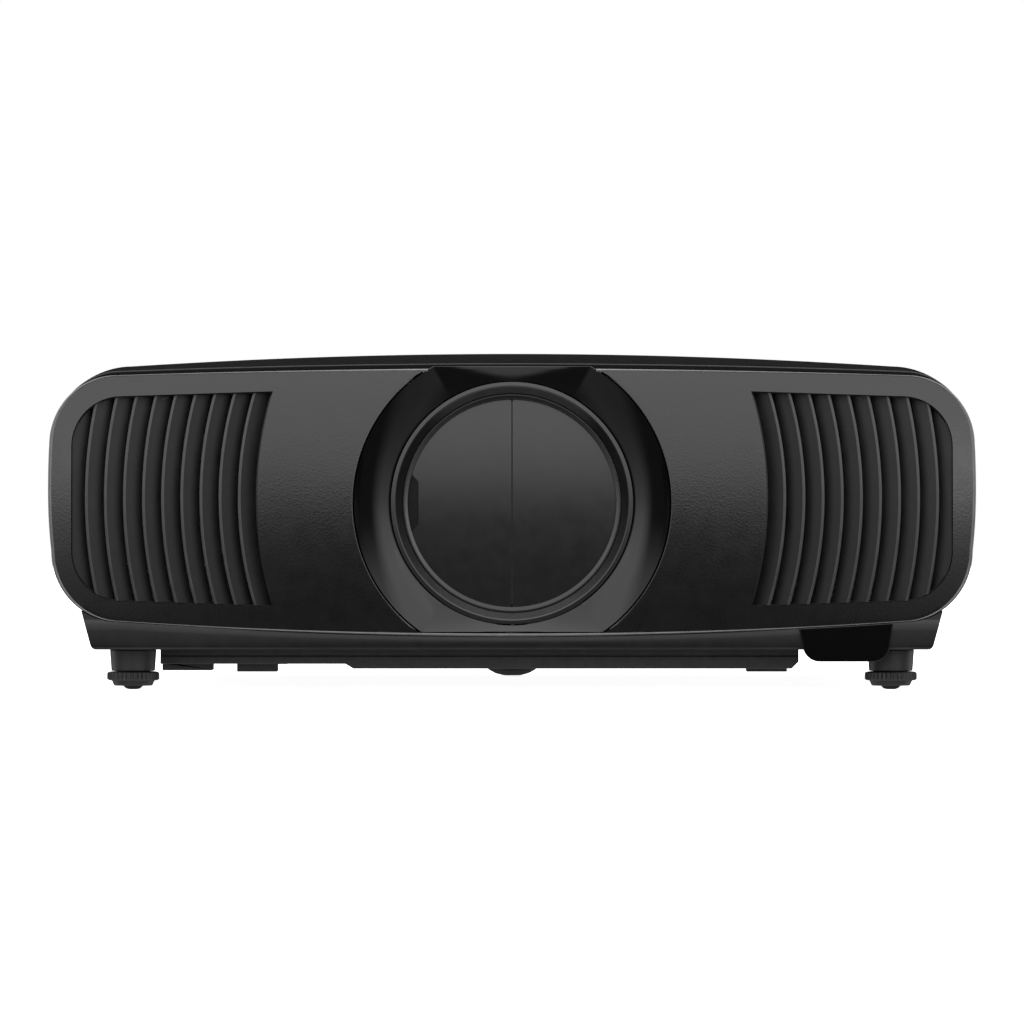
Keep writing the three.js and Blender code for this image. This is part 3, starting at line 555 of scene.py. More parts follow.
# ---- Front ----
def clear_of_surround(loops, half):
    """Sets the middle of the panel's top edge back, where the surround's flat top covers it."""
    from_z, front_y = 176.5, -209.3
    for loop in loops:
        for k, (x, y, z) in enumerate(loop):
            if abs(x) < half and z > from_z:
                loop[k] = (x, max(y, front_y), z)


def panel_opening(outline):
    return flattened_circle(outline, OPENING_R, OPENING_TOP, OPENING_BOTTOM)


def front_panel():
    """A pillowed tray with two vent openings."""
    outline = panel_outline()
    opening = panel_opening(outline)
    loops = [on_face(opening, PANEL_WALL), on_face(opening, 0.9)]
    loops.append(on_face(between(opening, outline, 0.25, 0.1), 0.3))
    loops.append(on_face(between(opening, outline, 0.9, 0.2), 0))
    for share in (0.85, 0.7, 0.55, 0.4, 0.25, 0.12):
        loops.append(on_face(between(outline, opening, 200, share), 0))
    loops.append(on_face(between(outline, opening, 0.6, 0.1), 0))
    loops.append(on_face(outline, 0.5))
    loops.append(at_y(outline, PANEL_BACK))
    loops.append(at_y(between(outline, opening, PANEL_WALL, 0.92), PANEL_BACK))
    for reach, share in ((4, 0.95), (50, 0.96), (100, 0.97)):
        loops.append(on_face(between(outline, opening, reach, share), PANEL_WALL))
    clear_of_surround(loops, 50)
    panel = loft("front_panel", loops, wrap=True)
    vent = prism("vent", grille_outline(0), *FRONT_CUT, "Y")
    other = mirrored(vent, "vent_right")
    rack_room = block("rack_room", -128, 128, -203.4, -190, 20, 60)
    combine(panel, [vent, other, rack_room], "DIFFERENCE")
    bevel(panel, 0.45, angle=60)
    piece(panel, "root", "panel", "panel_plastic", "front_panel", angle=40)


# The bead's section, as (distance in from the panel's outline, distance behind its face).
BEAD = ((1.25, 0.3), (1.2, 0), (0.95, -0.14), (0.6, -0.36), (0.25, -0.52), (0, -0.5), (-0.25, -0.32),
        (-0.5, 0), (-0.65, 0.4), (-0.65, 1.2), (0.2, 1.2))
BEAD_SHIFT = 0.45


def panel_rim_highlight():
    """The bead round the panel's edge, which sits a little further out along the lower edge. Its light colour
    is a painted highlight along the edge.
    """
    outline = panel_outline()
    opening = panel_opening(outline)
    loops = []
    for reach, behind in BEAD:
        row = []
        for (x, z), (u, v) in zip(outline, opening):
            low = min(1, max(0, (LENS_Z - z) / 60))
            t = (reach - BEAD_SHIFT * low) / math.hypot(u - x, v - z)
            row.append((x + (u - x) * t, z + (v - z) * t))
        loops.append(on_face(row, behind))
    clear_of_surround(loops, 47)
    bead = loft("panel_rim_highlight", loops, wrap=True)
    # The light rim finish paints the edge's highlight.
    piece(bead, "root", "rim", "panel_plastic", angle=60)


def louvre(k, section):
    """A curved bar from a section of (across, behind the face). The bars further out are less curved."""
    ridge_x = FIRST_RIDGE + RIDGE_PITCH * k
    share = 1 - STRAIGHTER * k
    low, high, steps = GRILLE_BOTTOM - 3, GRILLE_TOP + 3, 44
    loops = []
    for step in range(steps + 1):
        z = low + (high - low) * step / steps
        x = bow(z) * share - ridge_x
        loops.append([(x + u, face_y(x + u, z) + SLAT_RECESS + v, z) for u, v in section])
    return loft("louvre", loops)


SLAT = [(0, 1.3), (0.05, 0.75), (0.3, 0.55), (1.2, 0.3), (1.5, 0.25), (1.8, 0.4), (5.2, 2.75), (9.95, 5.5),
        (10.35, 5.9), (10.1, 8), (4, 4.6), (0.2, 2.2)]
RIDGE = [(-0.02, 0.9), (0, 0.5), (0.25, 0.1), (0.8, -0.05), (1.4, 0.02), (1.75, 0.25), (1.7, 0.6), (0.7, 0.9)]


def grille():
    """A rimmed vent of curved slats, with a rounded ridge along the outer side of each slat, coloured lighter
    as a painted highlight.
    """
    bars = {}
    for name, section in (("slats", SLAT), ("grille_ridge_highlights_left", RIDGE)):
        bars[name] = merge(name, [louvre(k, section) for k in range(SLATS)])
        combine(bars[name], [prism("bound", grille_outline(-0.45), *FRONT_CUT, "Y")], "INTERSECT")
    inner, outer = grille_outline(-0.9), grille_outline(3)
    frame_loops = [on_face(inner, 4.2), on_face(outer, 4.2), on_face(outer, 11), on_face(inner, 11)]
    left = loft("grille_left", frame_loops, wrap=True)
    combine(left, [bars["slats"]], "UNION")
    right = mirrored(left, "grille_right")
    piece(left, "root", "grille", "grille_plastic", "grille_left")
    piece(right, "root", "grille", "grille_plastic", "grille_right")
    # The ridges get the lighter ridge finish, a painted highlight.
    left = bars["grille_ridge_highlights_left"]
    right = mirrored(left, "grille_ridge_highlights_right")
    piece(left, "root", "ridge", "grille_plastic")
    piece(right, "root", "ridge", "grille_plastic")


def lens_surround():
    """A dished gloss ring, flattened at its top and bottom, that meets the panel's face all round."""
    steps = 480
    angles = [2 * math.pi * k / steps for k in range(steps)]
    unit = [(100 * math.cos(a), LENS_Z + 100 * math.sin(a)) for a in angles]
    rim = flattened_circle(unit, SURROUND_R, SURROUND_TOP, SURROUND_BOTTOM)
    throat = [(THROAT_R * math.cos(a), LENS_Z + THROAT_R * math.sin(a)) for a in angles]

    # Where the lower flat makes the dish shorter, the rim sits further back.
    sunk = []
    for (x, z), (u, v) in zip(rim, throat):
        short = 1 - math.hypot(u - x, v - z) / (SURROUND_R - THROAT_R)
        sunk.append(2.4 * short if z < LENS_Z else 0)

    def edge(points, behind):
        return [(x, face_y(x, z) + behind + deep, z) for (x, z), deep in zip(points, sunk)]

    def mixed(t):
        """A row of the dish, a share of the way from the rim to the throat."""
        loop = []
        for (x, z), (u, v), deep in zip(rim, throat, sunk):
            start = face_y(x, z) - 0.15 + deep
            dish = (THROAT_Y - start) * math.hypot(u - x, v - z) * DISH
            y = start * (1 - t) + THROAT_Y * t + dish * math.sin(math.pi * t)
            loop.append((x + (u - x) * t, y, z + (v - z) * t))
        return loop

    loops = [edge(rim, 2.6), edge(rim, 1), edge(between(rim, throat, 0.12, 0.03), 0.4),
             edge(between(rim, throat, 0.35, 0.06), 0)]
    loops += [mixed(0.06 + 0.92 * k / 16) for k in range(1, 17)]
    loops.append(at_y(throat, THROAT_Y + 0.6))
    loops.append(at_y(throat, THROAT_Y + 3))
    for k, (x, y, z) in enumerate(loops[0]):
        if z > OPENING_TOP - 1:
            loops[0][k] = (x, min(y, -209.8), z)
    ring = loft("lens_surround", loops, wrap=True)
    piece(ring, "root", "gloss", "surround_gloss", "lens_surround", angle=50)


def lens_trim_ring():
    """A chamfer, a funnel behind it and a step that frames the shutter."""
    profile = [
        (68.1, THROAT_Y + 1), (68.1, THROAT_Y - 0.1), (66, THROAT_Y - 0.95), (65.4, THROAT_Y - 0.6),
        (61.8, -205.8), (61.7, -203.1), (61.3, -203.1), (61.2, -204.6), (60.4, -204.6), (58.7, -204.2),
        (58.5, -204), (58.5, -202.9), (68.1, -202.9),
    ]
    ring = turned("lens_trim_ring", profile, "Y", (0, 0, LENS_Z), steps=256, radius=0.18)
    piece(ring, "root", "trim", "trim_satin", "lens_trim_ring", angle=40)


def leaf(name, side):
    """Half of the shutter's disc, gently curved from top to bottom."""
    loops = []
    steps = 96
    for k in range(steps + 1):
        angle = math.radians(-88 + 176 * k / steps)
        z, out = LEAF_R * math.sin(angle), LEAF_R * math.cos(angle)
        front = LEAF_FRONT + LEAF_CROWN * (z / LEAF_R) ** 2
        section = [(SEAM_HALF, LEAF_BACK), (SEAM_HALF, front + 0.06), (SEAM_HALF + 0.04, front),
                   (out, front), (out, LEAF_BACK)]
        loops.append([(side * u, v, LENS_Z + z) for u, v in section])
    return loft(name, loops)


def shutter_left():
    """The left leaf, with a finger recess and the rack that reaches under the right leaf."""
    left = leaf("shutter_left", -1)
    notch = [(-52.6, -12), (-52.6, 12), (-56.4, 16.3), (-65, 16.3), (-65, -16.3), (-56.4, -16.3)]
    mouth = [(x, LEAF_FRONT - 3, LENS_Z + z) for x, z in notch]
    floor = [(x, LEAF_FRONT + 1.3 - 0.06 * z, LENS_Z + z) for x, z in notch]
    combine(left, [loft("pocket", [mouth, floor])], "DIFFERENCE")
    lug = block("lug", -40, -20, LEAF_FRONT + 1.6, LEAF_BACK, 37.2, 62)
    rack = block("rack", -40, 62, LEAF_FRONT + 0.1, LEAF_BACK, 37.2, 40)
    combine(left, [lug, rack], "UNION")
    bevel(left, 0.3, angle=55, segments=2)
    piece(left, "shutter_left", "shutter", "shutter_satin", "shutter_left")


def shutter_right():
    """The right leaf, with its rack, and a lip that closes the seam from behind."""
    right = leaf("shutter_right", 1)
    rear = LEAF_BACK + 2.9
    low, high = LENS_Z - 57, LENS_Z + 57
    parts = [block("lug", 20, 40, LEAF_BACK + 0.4, rear, 26.5, 75),
             block("foot", 20, 40, LEAF_FRONT + 1.6, rear, 62, 75),
             block("rack", -62, 40, LEAF_FRONT + 0.1, rear, 26.5, 28.9),
             block("seam_lip", -1.2, 0.7, LEAF_BACK + 0.15, LEAF_BACK + 0.6, low, high),
             block("seam_lip_root", 0.3, 0.7, LEAF_BACK - 0.5, LEAF_BACK + 0.6, low, high)]
    combine(right, parts, "UNION")
    bevel(right, 0.3, angle=55, segments=2)
    piece(right, "shutter_right", "shutter", "shutter_satin", "shutter_right")


def front_window():
    """The gloss tongue over the remote control's receiver, under the panel's lower edge."""
    left, right, corner_z, rx, rz = 172.6, 202.4, 26.2, 9.6, 10.2
    outline = arc(left, corner_z, rx, rz, 180, 270, 12) + arc(right, corner_z, rx, rz, 270, 360, 12)
    outline += [(x, panel_bottom(x) - 0.5) for x in (213.8, 204, 193, 182, 171, 161)]
    window = prism("receiver_window_front", outline, BAND_FRONT - 1.8, BAND_FRONT + 3.5, "Y")
    bevel(window, 0.5)
    piece(window, "root", "window", "window_gloss", "receiver_window_front")


# ---- Casing ----
def top_cover():
    """The domed cover as a shell of even thickness, with rounded front and rear edges."""
    places = [(COVER_FRONT, 0.8), (COVER_FRONT + 0.3, 0.2), (COVER_FRONT + 1, 0)]
    y = COVER_FRONT + 8
    while y < REAR_FROM:
        places.append((y, 0))
        y += 16
    for k in range(15):
        places.append((REAR_FROM + (REAR_Y - 1.2 - REAR_FROM) * k / 14, 0))
    places += [(REAR_Y - 0.35, 0.35), (REAR_Y, 1.2)]
    loops = []
    for y, inset in places:
        outer = cover_arch(y, inset, SEAM_Z)
        inner = cover_arch(y, WALL, SEAM_Z)
        loops.append(at_y(outer, y) + at_y(reversed(inner), y))
    verts, faces = walls(loops)
    count = len(loops[0])
    for base in (0, len(verts) - count):
        for i in range(count // 2 - 1):
            faces.append((base + i, base + i + 1, base + count - 2 - i, base + count - 1 - i))
    cover = mesh_object("top_cover", verts, faces)
    low, high = node_box("control_panel")
    gap = 0.4
    window = block("window", 250, 264, low[1] - gap, high[1] + gap, low[2] - gap, high[2] + gap)
    combine(cover, [window], "DIFFERENCE")
    bevel(cover, 0.6, angle=60)
    piece(cover, "root", "cover", "casing_plastic", "top_cover", angle=40)


def cover_lip_highlight():
    """A slim bead along the cover's front edge, just above the gap over the panel, coloured lighter as a
    painted highlight.
    """
    section = [(0.05, 0.8), (0.05, 0.1), (0.25, -0.25), (0.6, -0.35), (0.95, -0.25), (1.15, 0.1), (1.15, 0.8)]
    rows = [at_y(cover_arch(COVER_FRONT, inset, SEAM_Z), COVER_FRONT + y) for inset, y in section]
    lip = loft("cover_lip_highlight", [list(points) for points in zip(*rows)])
    # The light lip finish paints the edge's highlight.
    piece(lip, "root", "lip", "casing_plastic")


def lower_solid(name, inset, y0, y1, top_z):
    places = [y0] + [REAR_FROM + (REAR_Y - REAR_FROM) * k / 12 for k in range(12)] + [y1]
    return loft(name, [at_y(lower_section(min(y, REAR_Y), inset, top_z), y) for y in places])


def brow():
    """What is cut from the lower casing's front, so that it leans back up to the panel's edge."""
    loops = []
    for k in range(-22, 23):
        x = 12 * k
        rise = panel_bottom(min(abs(x), BOTTOM_CORNER[0])) - PANEL_BOTTOM
        profile = [(-217, 23.3), (BAND_FRONT, 23.3), (-212.8, 23.9), (-213, 26), (-213.1, 27.5 + rise * 0.8),
                   (-212.9, 29 + rise), (-212.4, 30.5 + rise), (-211.4, 32 + rise), (-210.5, 60), (-217, 60)]
        loops.append([(x, y, z) for y, z in profile])
    return loft("brow", loops)


def bottom_case():
    """The lower casing as an open shell, with room for the panel and holes for the feet."""
    case = lower_solid("bottom_case", 0, BAND_FRONT, REAR_Y, SEAM_Z - 0.25)
    inside = lower_solid("inside", WALL, BAND_FRONT + 8, REAR_Y + 5, SEAM_Z + 10)
    grown = [(x * 1.006, LENS_Z + (z - LENS_Z) * 1.006) for x, z in panel_outline()]
    room = prism("panel_room", grown, FRONT_CUT[0], COVER_FRONT, "Y")
    holes = [rod("hole", 9.5, 10, 40, "Z", (s * FOOT_X, FOOT_Y, 0), radius=0.4) for s in (-1, 1)]
    combine(case, [inside, room, *holes, brow()], "DIFFERENCE")
    bevel(case, 0.8, angle=35)
    piece(case, "root", "casing", "casing_plastic", "bottom_case", angle=30)


# The pads under the tray, as (x, y, width, lower face). Each but the first takes a bracket's screw.
PADS = ((-185.3, -120, 28.6, 9.5), (-146, -105, 23, 8.4), (146, -105, 23, 8.4), (-146, 120, 23, 8.4),
        (146, 120, 23, 8.4))


def base_plate():
    """The tray under the lower casing, with pads and ribs on its lower side."""
    low, high = node_box("base_plate")
    top, shallow, deep = high[2], 13.7, 11

    def section(inset):
        left, right = low[0] + inset, high[0] - inset
        return [(left, top + inset), (left, shallow + inset), (-94.5, shallow + inset), (-90, deep + inset),
                (high[0] - 4, deep + inset), (right, deep + 4), (right, top + inset)]

    plate = prism("base_plate", section(0), low[1], high[1], "Y")
    inside = prism("inside", section(2.5), low[1] + 2.5, high[1] - 2.5, "Y")
    combine(plate, [inside], "DIFFERENCE")
    front, back = low[1] - 1, low[1] + 0.6
    groove = [(front, 17.7), (low[1], 17.7), (back, 18.5), (back, top + 1), (front, top + 1)]
    combine(plate, [prism("step", groove, low[0] - 1, high[0] + 1, "X")], "DIFFERENCE")
    solids = [block("pad", x - w / 2, x + w / 2, y - 12, y + 12, z, deep + 4) for x, y, w, z in PADS]
    solids += [block("rib", -80, 150, y - 1, y + 1, deep - 0.6, deep + 1) for y in (-60, 0, 60)]
    combine(plate, solids, "UNION")
    wells = [rod("well", 3.1, z - 2, z + 3, "Z", (x, y, 0), 40) for x, y, _, z in PADS[1:]]
    combine(plate, wells, "DIFFERENCE")
    bevel(plate, 0.7, angle=35)
    # The tray finish is lightened to offset the shade under the band, which is painted light.
    piece(plate, "root", "tray", "casing_plastic", "base_plate", angle=30)


def thread_inserts():
    for k, (x, y, _, z) in enumerate(PADS[1:]):
        ring = [(3, z + 0.3), (3, z + 2.8), (1.7, z + 2.8), (1.7, z + 0.3)]
        insert = turned(f"thread_insert_{k + 1}", ring, "Z", (x, y, 0), 48, 0.2)
        piece(insert, "root", "brass", "casing_plastic")


# ---- Feet ----
def foot_leg(name, centre):
    profile = [(4.5, 10.4), (12.3, 10.4), (13.15, 22.3), (9, 22.3), (9, 50), (0, 50), (0, 47), (4.5, 47)]
    leg = turned(f"foot_leg_{name}", profile, "Z", centre, 96, 0.6)
    piece(leg, "root", "foot", "foot_plastic", f"foot_leg_{name}")


def foot_wheel(name, centre):
    """The knurled wheel and its screw, from rows of (height, radius, half depth of the knurl)."""
    rows = [(2.1, 2.4, 0), (2.1, 10.4, 0), (2.5, 10.9, 0), (4.9, 12, 0), (5.15, 13.6, 0), (5.7, 14.35, 0.35),
            (9.4, 14.35, 0.35), (9.95, 13.6, 0), (10.1, 12.6, 0), (10.1, 4, 0), (43.4, 4, 0), (44, 3.4, 0),
            (44, 0, 0), (6.6, 0, 0), (6.6, 2.4, 0)]
    steps = 8 * KNURLS
    loops = []
    for z, r, depth in rows:
        ring = []
        for k in range(steps):
            angle = 2 * math.pi * k / steps
            reach = r + depth * math.cos(KNURLS * angle)
            ring.append((centre[0] + reach * math.cos(angle), centre[1] + reach * math.sin(angle), z))
        loops.append(ring)
    wheel = loft(f"foot_wheel_{name}", loops, wrap=True)
    piece(wheel, f"foot_wheel_{name}", "moulding", "foot_plastic", f"foot_wheel_{name}")


def foot_tip(name, centre):
    profile = [(0, 0), (2.4, 0.05), (4.2, 0.6), (5.6, 1.95), (2, 1.95), (2, 6.2), (0, 6.2)]
    tip = turned(f"foot_tip_{name}", profile, "Z", centre, 64, 0.3)
    piece(tip, f"foot_tip_{name}", "rubber", "foot_rubber", f"foot_tip_{name}")


def rear_foot():
    profile = [(0, 0), (5, 0.1), (10, 1.3), (14, 3.4), (16.4, 5.6), (17.2, 6.2), (17.2, 10.7), (0, 10.7)]
    rear = turned("rear_foot", profile, "Z", (0, 190, 0), 96, 0.5)
    piece(rear, "root", "rubber", "foot_rubber", "rear_foot")


def feet():
    for name, side in (("left", -1), ("right", 1)):
        centre = (side * FOOT_X, FOOT_Y, 0)
        foot_leg(name, centre)
        foot_wheel(name, centre)
        foot_tip(name, centre)
    rear_foot()


# ---- Rear ----
SERIAL_X = 115
# Each socket's name, place across the back, width and height.
SOCKETS = (
    ("hdmi_socket_1", 5, 16, 7.4),
    ("hdmi_socket_2", 29, 16, 7.4),
    ("usb_socket", 55, 15.5, 8.4),
    ("lan_socket", 82, 17, 15),
    ("serial_socket", SERIAL_X, 31, 13),
)
SOCKET_Z = 98


def hole_round(node, gap=0.4):
    low, high = node_box(node)
    return block("hole", low[0] - gap, high[0] + gap, *REAR_CUT, low[2] - gap, high[2] + gap)


def jack_centre():
    low, high = node_box("trigger_jack")
    return ((low[0] + high[0]) / 2, 0, SOCKET_Z)


def rear_panel():
    """A flat panel just inside the casing's rear end, with openings, a ledge and two bars."""
    inset = WALL + 1
    arch = cover_arch(REAR_FACE, inset, SEAM_Z)
    lower = lower_section(REAR_FACE, inset, SEAM_Z)
    middle = len(lower) // 2
    outline = lower[:middle] + arch + lower[middle:]
    panel = prism("rear_panel", outline, REAR_FACE - 3, REAR_FACE, "Y")
    low, high = node_box("filter_cover")
    holes = [block("door", low[0] - 0.4, high[0] + 0.4, *REAR_CUT, 71.4, high[2] + 0.4)]
    holes += [hole_round(name) for name in ("connector_plate", "power_inlet", "receiver_window_rear")]
    combine(panel, holes, "DIFFERENCE")
    ledge = block("ledge", -12, 160, REAR_FACE - 0.4, REAR_FACE + 1.4, 81, 83)
    bars = [block("bar", 168, 212, REAR_FACE - 0.4, REAR_FACE + 1.2, z, z + 2) for z in (42, 72)]
    combine(panel, [ledge, *bars], "UNION")
    bevel(panel, 0.4, angle=50, segments=2)
    piece(panel, "root", "rear", "casing_plastic", "rear_panel")


def connector_plate():
    plate = node_block("connector_plate")
    holes = [hole_round(name) for name, *_ in SOCKETS]
    holes.append(rod("hole", 4.4, *REAR_CUT, "Y", jack_centre(), 64))
    combine(plate, holes, "DIFFERENCE")
    bevel(plate, 0.3, angle=50, segments=2)
    piece(plate, "root", "moulding", "casing_plastic", "connector_plate")


def rear_window():
    eye = node_block("receiver_window_rear")
    bevel(eye, 1.0)
    piece(eye, "root", "window", "window_gloss", "receiver_window_rear")


def shell_outline(name, w, h):
    """The mouth's outline: video sockets and the serial socket narrow towards their lower edge."""
    side, up = w / 2, h / 2
    if name.startswith("hdmi"):
        knee = -h * 0.1
        return [(-side, up), (-side, knee), (2 - side, -up), (side - 2, -up), (side, knee), (side, up)]
    narrower = 1.6 if name.startswith("serial") else 0
    return [(-side, up), (narrower - side, -up), (side - narrower, -up), (side, up)]


def socket_shell(name, x, w, h):
    def placed(width, height):
        return [(x + u, SOCKET_Z + v) for u, v in shell_outline(name, width, height)]

    shell = prism(name, placed(w, h), 202, 217, "Y")
    combine(shell, [prism("mouth", placed(w - 1.8, h - 1.8), 205, 222, "Y")], "DIFFERENCE")
    bevel(shell, 0.25, segments=2)
    piece(shell, "root", "nickel", "socket_metal", name)


def socket_contacts(name, x):
    """A tongue in video and USB sockets, a row of contacts in the network one, pins in the serial one."""
    back = 204.5
    inside = []
    if name.startswith("hdmi"):
        inside.append(block("tongue", x - 5.2, x + 5.2, back, 213, SOCKET_Z - 0.1, SOCKET_Z + 1.1))
    elif name.startswith("usb"):
        inside.append(block("tongue", x - 5.6, x + 5.6, back, 214, SOCKET_Z + 0.2, SOCKET_Z + 2))
    elif name.startswith("lan"):
        for k in range(8):
            left = x - 4 + 1.1 * k
            inside.append(block("contact", left, x - 3.6 + 1.1 * k, back, 212, SOCKET_Z + 3, SOCKET_Z + 4.4))
    else:
        rows = [(k, 1.5, 5) for k in range(5)] + [(k, -1.6, 4) for k in range(4)]
        for k, dz, total in rows:
            at = (x + 2.76 * (k - (total - 1) / 2), 0, SOCKET_Z + dz)
            profile = [(0, back), (0.55, back), (0.55, 213), (0, 213.6)]
            inside.append(turned("pin", profile, "Y", at, 16, 0.1))
    core = merge(f"{name}_contacts", inside)
    piece(core, "root", "contact" if len(inside) > 1 else "moulding", "socket_metal")


def serial_posts():
    """The hexagonal posts on both sides of the serial socket."""
    corners = [(math.cos(math.radians(60 * k)), math.sin(math.radians(60 * k))) for k in range(6)]
    posts = []
    for x in (SERIAL_X - 13.8, SERIAL_X + 13.8):
        hexagon = [(x + 1.9 * c, SOCKET_Z + 1.9 * s) for c, s in corners]
        posts.append(prism("post", hexagon, 216.9, 219.4, "Y"))
    screws = merge("serial_posts", posts)
    bevel(screws, 0.2, segments=2)
    piece(screws, "root", "nickel", "socket_metal")


def sockets():
    for name, x, w, h in SOCKETS:
        socket_shell(name, x, w, h)
        socket_contacts(name, x)
    serial_posts()


def power_inlet():
    low, high = node_box("power_inlet")
    x, z = (low[0] + high[0]) / 2, (low[2] + high[2]) / 2

    def outline(rim):
        """The mouth's outline, with its upper corners cut off."""
        left, right = low[0] + rim, high[0] - rim
        bottom, top = low[2] + rim, high[2] - rim
        return [(left, bottom), (right, bottom), (right, top - 4), (right - 4, top), (left + 4, top),
                (left, top - 4)]

    body = node_block("power_inlet")
    combine(body, [prism("mouth", outline(3), 199, 222, "Y")], "DIFFERENCE")
    bevel(body, 0.5)
    piece(body, "root", "moulding", "socket_black", "power_inlet")
    pins = []
    for dx in (-7, 0, 7):
        pins.append(block("pin", x + dx - 1, x + dx + 1, 198.5, 213, z - 7 + abs(dx) / 7, z - 3.6))
    blades = merge("inlet_pins", pins)
    bevel(blades, 0.3, segments=2)
    piece(blades, "root", "nickel", "socket_metal")


def trigger_jack():
    profile = [(4, 200), (4, 217.5), (1.8, 217.5), (1.8, 204), (0, 204), (0, 200)]
    jack = turned("trigger_jack", profile, "Y", jack_centre(), 64, 0.3)
    piece(jack, "root", "moulding", "socket_black", "trigger_jack")


def filter_cover():
    """The slotted door over the air filter, with a grip at its upper edge."""
    low, high = node_box("filter_cover")
    door = block("filter_cover", low[0], high[0], 213.4, REAR_FACE, low[2], high[2])
    slots = []
    for k in range(8):
        z = 88 + 7 * k
        slots.append(block("slot", low[0] + 9.6, high[0] - 9.6, 210, 220, z, z + 3))
    combine(door, slots, "DIFFERENCE")
    grip = block("grip", -160, -130, 215.5, 218.5, 144, 147)
    combine(door, [grip], "UNION")
    bevel(door, 0.5)
    piece(door, "filter_cover", "rear", "casing_plastic", "filter_cover")


# ---- Side control panel ----
BUTTONS = ("power", "up", "down", "left", "right", "enter", "menu", "escape", "source")
SIGN_X = (258.6, 259.5)
# The bars of each sign that is made of bars, as (middle across, middle up, half width, half height).
BAR_SIGNS = {
    "power": [(0, 1.3, 0.25, 0.9)],
    "enter": [(0, 0, 0.6, 0.6)],
    "menu": [(0, v, 1.3, 0.2) for v in (-0.9, 0, 0.9)],
    "escape": [(0, 0, 1.3, 0.25)],
    "source": [(0, 0, 1.3, 0.8)],
}


def mark(name, y, z, middle):
    """A raised generic sign on a button's face: an arrow away from the middle, bars, or a ring and bar."""
    def sign(outline):
        return prism("sign", [(y + u, z + v) for u, v in outline], *SIGN_X, "X")

    signs = []
    if name in BAR_SIGNS:
        if name == "power":
            ring = [(1.2, SIGN_X[0]), (1.2, SIGN_X[1]), (1.7, SIGN_X[1]), (1.7, SIGN_X[0])]
            signs.append(turned("ring", ring, "X", (0, y, z), 40, 0.1))
        for u, v, w, h in BAR_SIGNS[name]:
            signs.append(sign([(u - w, v - h), (u + w, v - h), (u + w, v + h), (u - w, v + h)]))
    else:
        away = Vector((y - middle[0], z - middle[1])).normalized()
        across = Vector((-away.y, away.x))
        signs.append(sign([away * 1.2, across * 1.2 - away * 0.8, -across * 1.2 - away * 0.8]))
    piece(merge(f"{name}_mark", signs), f"{name}_button", "mark", "button_plastic")


def controls():
    plate = node_block("control_panel")
    centres = {}
    for name in BUTTONS:
        low, high = node_box(f"{name}_button")
        centres[name] = ((low[1] + high[1]) / 2, (low[2] + high[2]) / 2)
    holes = [rod("hole", 4.4, 250, 262, "X", (0, y, z)) for y, z in centres.values()]
    combine(plate, holes, "DIFFERENCE")
    bevel(plate, 0.4, segments=2)
    piece(plate, "root", "casing", "casing_plastic", "control_panel")
    profile = [(0, 252.4), (4.8, 252.4), (4.8, 254.2), (4, 254.2), (4, 259.1), (3.4, 259.55), (2, 259.3),
               (0, 259.2)]
    for name, (y, z) in centres.items():
        cap = turned(f"{name}_button", profile, "X", (0, y, z), 64, 0.3)
        piece(cap, f"{name}_button", "button", "button_plastic", f"{name}_button")
        mark(name, y, z, centres["enter"])


# ---- Lens behind the shutter ----
def lens():
    """The barrel and two of its lenses, which move together behind the shutter."""
    at = (0, 0, LENS_Z)
    profile = [(49, -191), (52, -191), (52, -172), (51, -170), (51, -96.4), (42, -88.4), (32, -88.4),
               (32, -108.4), (45, -173), (46.5, -176), (49, -177)]
    barrel = turned("lens_barrel", profile, "Y", at, 160, 0.5)
    piece(barrel, "lens_carrier", "moulding", "inner_black", "lens_barrel")
    front = [(0, -190), (10, -189.8), (18, -189.3), (26, -188.3), (34, -187), (41, -185.3), (48.2, -183),
             (48.5, -182.5), (48.5, -178.4), (48, -178), (24, -181), (0, -182)]
    glass = turned("front_lens", front, "Y", at, 128, 0.2)
    piece(glass, "lens_carrier", "lens", "lens_glass", "front_lens", angle=40)
    second = [(0, -150), (20, -148.5), (34, -145), (34, -142), (0, -140)]
    inner = turned("second_lens", second, "Y", at, 96, 0.4)
    piece(inner, "lens_carrier", "lens", "lens_glass")


# ---- Inner assemblies keep their CAD shapes ----
INNER_FINISH = {
    "inner_black": "moulding",
    "inner_steel": "steel",
    "inner_aluminium": "aluminium",
    "lens_glass": "lens",
    "board": "board",
    "filter_foam": "foam",
}


def inner_nodes():
    for row in frame["record"]["subparts"]:
        finish = INNER_FINISH.get(row["material_slot"])
        if finish is None:
            continue
        obj = frame["nodes"][row["node"]]
        for k in range(len(obj.material_slots)):
            obj.material_slots[k].material = MATERIALS[finish]


# ---- Stage, light and camera ----
def white_floor(level):
    """Pale matt floor that is close to white whatever the lamps give it."""
    material = bpy.data.materials.new("floor")
    material.use_nodes = True
    shader = material.node_tree.nodes["Principled BSDF"]
    shader.inputs["Base Color"].default_value = (0.8, 0.8, 0.8, 1)
    shader.inputs["Roughness"].default_value = 0.9
    shader.inputs["Emission Color"].default_value = (1, 1, 1, 1)
    shader.inputs["Emission Strength"].default_value = level
    return material


